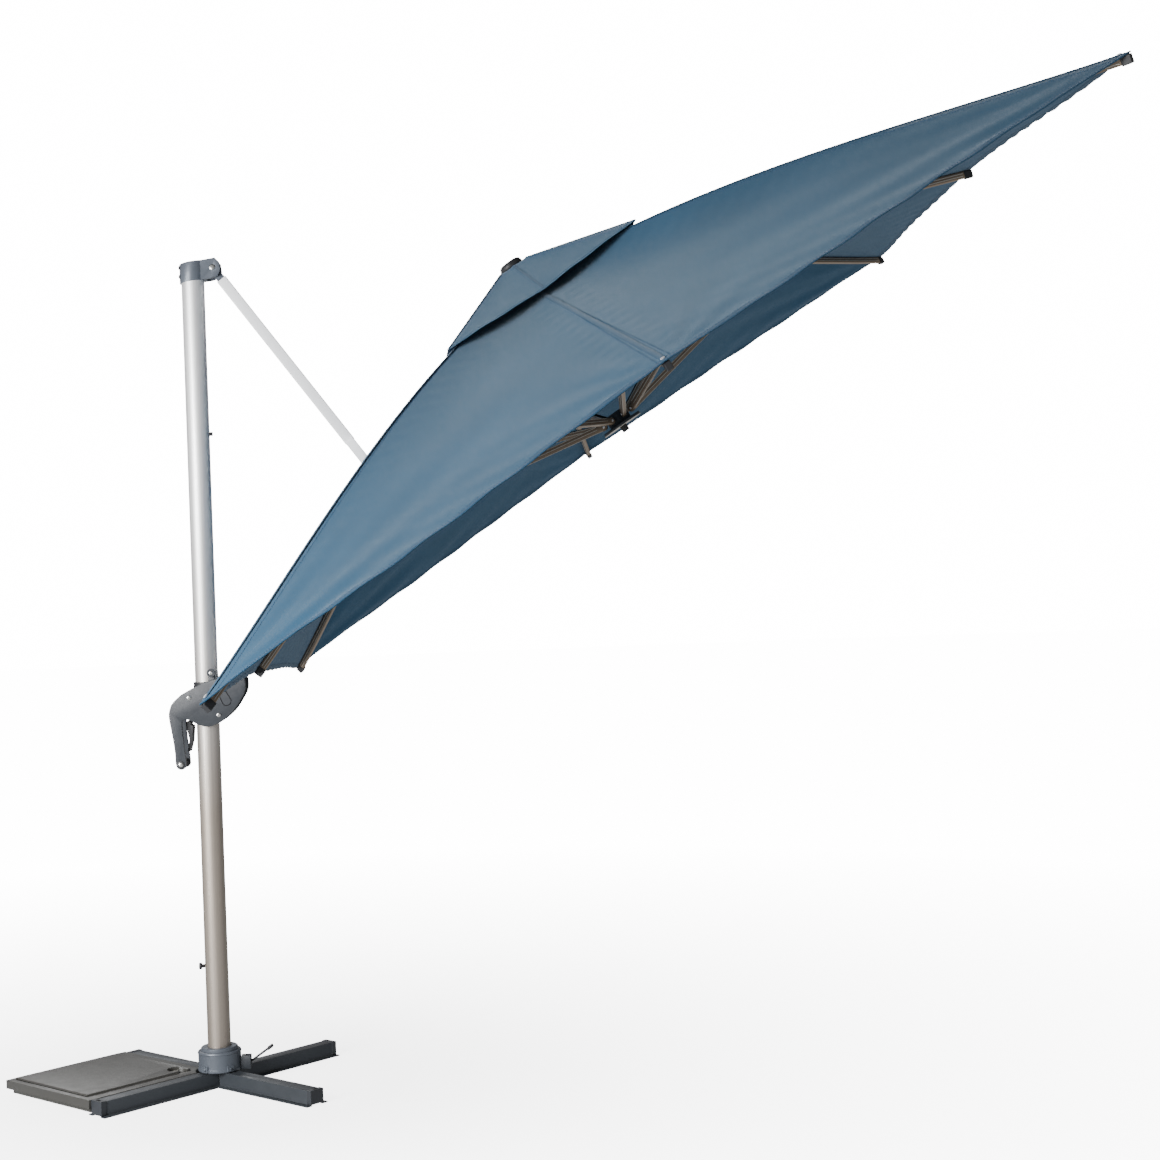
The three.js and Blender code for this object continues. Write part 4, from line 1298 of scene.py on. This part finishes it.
    def hem(self, number: int, points: np.ndarray, body: str) -> bpy.types.Object:
        """The turned hem along the edge of one piece of cloth."""
        edge, inner = points[:, -1], points[:, -2]
        inward = inner - edge
        inward /= np.linalg.norm(inward, axis=-1, keepdims=True)
        run = np.gradient(edge, axis=0)
        run /= np.linalg.norm(run, axis=-1, keepdims=True)
        up = np.cross(run, inward)
        up *= np.where(up[:, 2:] < 0, -1, 1)
        up /= np.linalg.norm(up, axis=-1, keepdims=True)
        width = self.hem_width
        thick = self.cloth_thick
        profile = [(-0.0012, 0.0), (0.0, 0.0010), (0.003, 0.0014), (width, 0.0010), (width, -0.0001),
                   (width, -thick + 0.0001), (width, -thick - 0.0010), (0.003, -thick - 0.0014),
                   (0.0, -thick - 0.0010)]
        sections = np.stack([edge + inward * u + up * w for u, w in profile], axis=1)
        world = self.shape.world(sections.reshape(-1, 3)).reshape(sections.shape)
        shape = loft([[Vector(p) for p in section] for section in world])
        mesh = shape.mesh(f"hem_{number}")
        local = (np.array([v.co for v in mesh.vertices]) - np.array(self.shape.apex)) @ self.shape.basis.T
        cloth_map(mesh, local)
        mesh.polygons.foreach_set("use_smooth", [True] * len(mesh.polygons))
        mesh.set_sharp_from_angle(angle=math.radians(40))
        return self.workshop.place(f"hem_{number}", mesh, [Finishes.SEAM], body, "canopy_cloth")

    def rib(self, number: int) -> None:
        """One rib and its stretcher, with end cap, beads whose light colour paints glints along their ridges, and
        rivets.
        """
        shop, form = self.workshop, self.shape
        rib_body, arm_body = f"rib_{number}", f"stretcher_{number}"
        shop.refine(f"rib_{number}", 0.0, angle=50)
        shop.refine(f"stretcher_{number}", 0.0, angle=50)
        pivot, tip, across = form.rib_line(number)
        along = (tip - pivot).normalized()
        over = along.cross(across)
        if over.dot(form.up) < 0:
            over = -over
        turn = Matrix((across, over, along)).transposed()
        width, height, wall = 0.016, 0.026, 0.0016
        seat = tip - along * 0.010 - over * 0.0022
        cap = block((width + 2 * wall, height + 2 * wall - 0.003, 0.030), seat, turn)
        shop.make(f"rib_cap_{number}", cap, Finishes.BLACK, rib_body, "black_plastic", 0.0022, 3)
        rib_length = (tip - pivot).length
        beads = Shape()
        steps = 1 if number % 2 else 12
        places = np.linspace(0.03, rib_length - 0.03, steps + 1)
        line = [pivot + along * float(p) + over * form.rib_rise(number, float(p) / rib_length) for p in places]
        for start, end in zip(line, line[1:]):
            run = (end - start).normalized()
            rise = run.cross(across)
            rise = -rise if rise.dot(form.up) < 0 else rise
            frame = Matrix((across, rise, run)).transposed()
            for sign in (-1, 1):
                for level in (-0.0045, 0.0045):
                    middle = (start + end) / 2 + across * (sign * 0.0081) + rise * level
                    beads.extend(block((0.0010, 0.0022, (end - start).length), middle, frame))
        # painted highlight: the beads' light colour stands for glints along the rib's ridges
        shop.make(f"rib_beads_{number}", beads, Finishes.EDGE, rib_body, "taupe")
        self.stretcher_trim(number, across, arm_body)
        up = form.up
        face = form.surface(np.array([form.rib_angle(number)]), np.array([0.985]))[0]
        spot = Vector(form.world(face[None])[0])
        normal = (over * 0.9 + up * 0.1).normalized()
        self.fasteners.screws(f"tip_rivet_{number}", [(spot + normal * 0.0012, normal)], 0.0072, 0.0030, rib_body,
                              Finishes.RIVET, "steel")

    def stretcher_trim(self, number: int, across: Vector, body: str) -> None:
        """Edge beads, whose light colour paints glints along the stretcher's ridges, and pivot rivets of one
        stretcher.
        """
        form, shop = self.shape, self.workshop
        low = self.stretcher_ends(number)
        start, end = low
        along = (end - start).normalized()
        over = along.cross(across)
        if over.dot(form.up) < 0:
            over = -over
        turn = Matrix((across, over, along)).transposed()
        length = (end - start).length
        beads = Shape()
        for sign in (-1, 1):
            for level in (-0.0108, 0.0, 0.0095):
                middle = start + along * (length / 2) + across * (sign * 0.0061) + over * level
                beads.extend(block((0.0010, 0.0018, length - 0.05), middle, turn))
        # painted highlight: the beads' light colour stands for glints along the stretcher's ridges
        shop.make(f"stretcher_beads_{number}", beads, Finishes.EDGE, body, "taupe")
        spots = [(place + across * (sign * 0.0059), across * sign) for place in (start, end) for sign in (-1, 1)]
        self.fasteners.screws(f"stretcher_rivets_{number}", spots, 0.0045, 0.0022, body, Finishes.RIVET, "steel")

    def stretcher_ends(self, number: int) -> tuple[Vector, Vector]:
        """The two pivots of one stretcher, in the world: at the runner and at the rib."""
        form = self.shape
        pivot, tip, across = form.rib_line(number)
        inner = Vector(self.workshop.joints[f"stretcher_{number}_fold"]["pos_m"])
        start = inner - across * ((inner - form.apex).dot(across) - form.stretcher_offset)
        slope = (tip - pivot).normalized()
        reach = self.stretcher_reach[(number + 1) % 2]
        over = slope.cross(across)
        over = -over if over.dot(form.up) < 0 else over
        rise = form.rib_rise(number, reach / (tip - pivot).length)
        return start, pivot + slope * reach + over * rise + across * form.stretcher_offset

    def vent(self) -> None:
        """The vent cloth over the crown, with its seams and a row of stitches round its edge, fixed under the
        finial.
        """
        form = self.shape
        rings, spokes = 26, 128
        t = np.linspace(0.03, 1, rings + 1)
        angle = np.linspace(0, 2 * math.pi, spokes, endpoint=False)
        grid_angle, grid_t = np.meshgrid(angle, t, indexing="ij")
        points = form.vent(grid_angle, grid_t)
        layers = np.concatenate([points.reshape(-1, 3), points.reshape(-1, 3) - [0, 0, self.cloth_thick]])
        count = spokes * (rings + 1)
        faces, paints = [], []
        columns = rings + 1
        for i in range(spokes):
            j = (i + 1) % spokes
            for k in range(rings):
                quad = (i * columns + k, i * columns + k + 1, j * columns + k + 1, j * columns + k)
                faces.append(quad)
                paints.append(0)
                faces.append(tuple(count + n for n in reversed(quad)))
                paints.append(1)
            rim = (i * columns + rings, i * columns + rings + count, j * columns + rings + count,
                   j * columns + rings)
            faces.append(rim)
            paints.append(0)
        faces.append(tuple(i * columns for i in range(spokes)))
        faces.append(tuple(count + i * columns for i in reversed(range(spokes))))
        paints += [0, 1]
        mesh = bpy.data.meshes.new("vent_cloth")
        mesh.from_pydata(form.world(layers).tolist(), [], faces)
        mesh.polygons.foreach_set("material_index", paints)
        mesh.polygons.foreach_set("use_smooth", [True] * len(mesh.polygons))
        if mesh.polygons[0].normal.dot(form.up) < 0:
            mesh.flip_normals()
        cloth_map(mesh, layers)
        mesh.set_sharp_from_angle(angle=math.radians(50))
        # the lower layer gets the underside's painted-shade colour
        cloth = self.workshop.place("vent_cloth", mesh, [Finishes.CLOTH, Finishes.SHADED_UNDERSIDE], "boom", "canopy_cloth")
        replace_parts(cloth, "vent_canopy")
        parts = [cloth]
        rows = []
        for number in range(1, 9):
            middle = form.rib_angle(number)
            line = form.vent(np.full(30, middle), np.linspace(0.14, 0.985, 30))
            tangent = np.gradient(line, axis=0)
            tangent /= np.linalg.norm(tangent, axis=-1, keepdims=True)
            side = np.broadcast_to([-math.sin(middle), math.cos(middle), 0.0], line.shape)
            up = np.cross(tangent, side)
            parts.append(self.ribbon(f"vent_seam_{number}", line, side, up, 0.006, 0.0010, 0.0006, "boom"))
            lift = np.array([0, 0, 0.0012])
            rows.append([Vector(p) for p in form.world(line + side * 0.004 + lift)])
        edge = form.vent(np.append(angle, angle[:1]), np.full(spokes + 1, 0.975))
        rows.append([Vector(p) for p in form.world(edge + np.array([0, 0, 0.0010]))])
        parts.append(self.fasteners.sewn("vent_stitches", rows, "boom"))
        for part in parts:
            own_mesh(part)

    def hub(self) -> None:
        """The hub under the crown, the runner, its knob and the finial."""
        shop, form = self.workshop, self.shape
        shop.refine("canopy_head", 0.0012)
        shop.refine("runner_hub", 0.0015)
        shop.refine("runner_knob", 0.0025, segments=3)
        profile = [(0.0, 0.0), (0.041, 0.0), (0.042, 0.002), (0.042, 0.010), (0.040, 0.0115), (0.040, 0.0135),
                   (0.0405, 0.0145), (0.038, 0.0185), (0.032, 0.0218), (0.010, 0.0230), (0.0, 0.0230)]
        finial = shop.make("finial_cap", turned(profile, form.spot(0, 0, -0.0012), form.up, 56), Finishes.BLACK,
                           "boom", "black_plastic")
        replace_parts(finial, "finial")
        rim = form.spot(0, 0, -form.runner_depth - 0.0325)
        disc = turned([(0.058, 0.0), (0.0735, 0.0), (0.0735, 0.0022), (0.058, 0.0022)], rim, form.up, 56)
        shop.make("runner_rim", disc, Finishes.EDGE, "runner", "steel", 0.0004)


# ---------------------------------------------------------------- studio
@dataclass
class Studio:
    """The camera, the soft lights, the pale floor and the pale surroundings."""

    camera_place: tuple[float, float, float] = (0.837, -6.462, 1.560)
    yaw: float = math.radians(3.768)
    rise: float = math.radians(0.673)
    roll: float = math.radians(-2.128)
    focal: float = 59.30

    def build(self) -> None:
        """Sets up the whole studio."""
        self.camera()
        self.lights()
        self.floor()
        self.sky()

    def camera(self) -> None:
        """Places the camera at a standing viewer's eye height, in front of the parasol."""
        data = bpy.data.cameras.new("camera")
        data.lens = self.focal
        data.sensor_width = 36.0
        data.clip_end = 200.0
        camera = bpy.data.objects.new("camera", data)
        bpy.context.scene.collection.objects.link(camera)
        bpy.context.scene.camera = camera
        forward = Vector((math.sin(self.yaw) * math.cos(self.rise), math.cos(self.yaw) * math.cos(self.rise),
                          math.sin(self.rise)))
        right = Vector((math.cos(self.yaw), -math.sin(self.yaw), 0))
        above = right.cross(forward)
        rolled = right * math.cos(self.roll) + above * math.sin(self.roll)
        upright = above * math.cos(self.roll) - right * math.sin(self.roll)
        rotation = Matrix((rolled, upright, -forward)).transposed()
        camera.matrix_world = Matrix.Translation(self.camera_place) @ rotation.to_4x4()

    def lights(self) -> None:
        """Three soft boxes: a key at the left front, a fill at the right and one behind."""
        boxes = (
            ("key_light", (-2.3, -3.3, 1.9), (0.0, -0.1, 1.6), (1.6, 2.2), 370.0),
            ("fill_light", (5.0, -4.0, 2.4), (0.8, 0.0, 1.6), (2.6, 2.6), 12.0),
            ("back_light", (-1.5, 4.8, 4.2), (0.6, 0.0, 1.6), (3.0, 2.0), 100.0),
        )
        for name, place, target, size, power in boxes:
            data = bpy.data.lights.new(name, "AREA")
            data.shape = "RECTANGLE"
            data.size, data.size_y = size
            data.energy = power
            light = bpy.data.objects.new(name, data)
            bpy.context.scene.collection.objects.link(light)
            aim = Vector(target) - Vector(place)
            light.matrix_world = Matrix.Translation(place) @ aim.to_track_quat("-Z", "Y").to_matrix().to_4x4()

    def floor(self) -> None:
        """A wide pale floor that brightens with distance, so that it has no visible edge."""
        made = bpy.data.materials.new("pale_floor")
        made.use_nodes = True
        made.node_tree.nodes.clear()
        writer = NodeWriter(made.node_tree)
        place = writer.add("ShaderNodeTexCoord").outputs["Object"]
        away = writer.add("ShaderNodeVectorMath", {0: place}, operation="LENGTH").outputs["Value"]
        glow = writer.mapped(away, 0.6, 6.0, 4.2, 15.0)
        surface = writer.add("ShaderNodeBsdfPrincipled", {
            "Base Color": (0.86, 0.86, 0.86, 1), "Roughness": 0.9, "Specular IOR Level": 0.0,
            "Emission Color": (1, 1, 1, 1), "Emission Strength": glow})
        writer.add("ShaderNodeOutputMaterial", {"Surface": surface.outputs["BSDF"]})
        reach = 60.0
        shape = turned([(reach, -0.0300), (reach, -0.0004), (0.0, -0.0004)], Vector((0, 0, 0)),
                       Vector((0, 0, 1)), 64)
        mesh = shape.mesh("floor")
        mesh.materials.append(made)
        floor = bpy.data.objects.new("floor", mesh)
        bpy.context.scene.collection.objects.link(floor)
        floor.visible_diffuse = False
        floor.visible_glossy = False

    def sky(self) -> None:
        """Pale light from all round, weaker from below, and a bright dome that only the camera sees."""
        world = bpy.data.worlds.new("studio")
        bpy.context.scene.world = world
        world.use_nodes = True
        world.node_tree.nodes.clear()
        writer = NodeWriter(world.node_tree)
        direction = writer.add("ShaderNodeTexCoord").outputs["Generated"]
        height = writer.add("ShaderNodeSeparateXYZ", {0: direction}).outputs["Z"]
        strength = writer.mapped(height, -0.5, 0.1, 0.75, 0.20)
        light = writer.add("ShaderNodeBackground", {"Color": (0.97, 0.985, 1.0, 1), "Strength": strength})
        writer.add("ShaderNodeOutputWorld", {"Surface": light.outputs[0]})
        mesh = bpy.data.meshes.new("dome")
        bm = bmesh.new()
        bmesh.ops.create_uvsphere(bm, u_segments=48, v_segments=24, radius=80.0)
        bmesh.ops.reverse_faces(bm, faces=bm.faces)
        bm.to_mesh(mesh)
        bm.free()
        made = bpy.data.materials.new("bright_dome")
        made.use_nodes = True
        made.node_tree.nodes.clear()
        writer = NodeWriter(made.node_tree)
        glow = writer.add("ShaderNodeEmission", {"Color": (1, 1, 1, 1), "Strength": 16.0})
        writer.add("ShaderNodeOutputMaterial", {"Surface": glow.outputs[0]})
        mesh.materials.append(made)
        dome = bpy.data.objects.new("dome", mesh)
        bpy.context.scene.collection.objects.link(dome)
        for ray in ("visible_diffuse", "visible_glossy", "visible_transmission", "visible_volume_scatter",
                    "visible_shadow"):
            setattr(dome, ray, False)


def main() -> None:
    """Builds the studio and every sub-assembly."""
    logging.basicConfig(level=logging.INFO, format="%(name)s %(message)s")
    Studio().build()
    workshop = Workshop()
    fasteners = Fasteners(workshop)
    Base(workshop, fasteners).build()
    Mast(workshop, fasteners).build()
    Handle(workshop, fasteners).build()
    BoomAndStrut(workshop, fasteners).build()
    Canopy(workshop, fasteners, CanopyShape(workshop)).build()


if __name__ == "__main__":
    main()
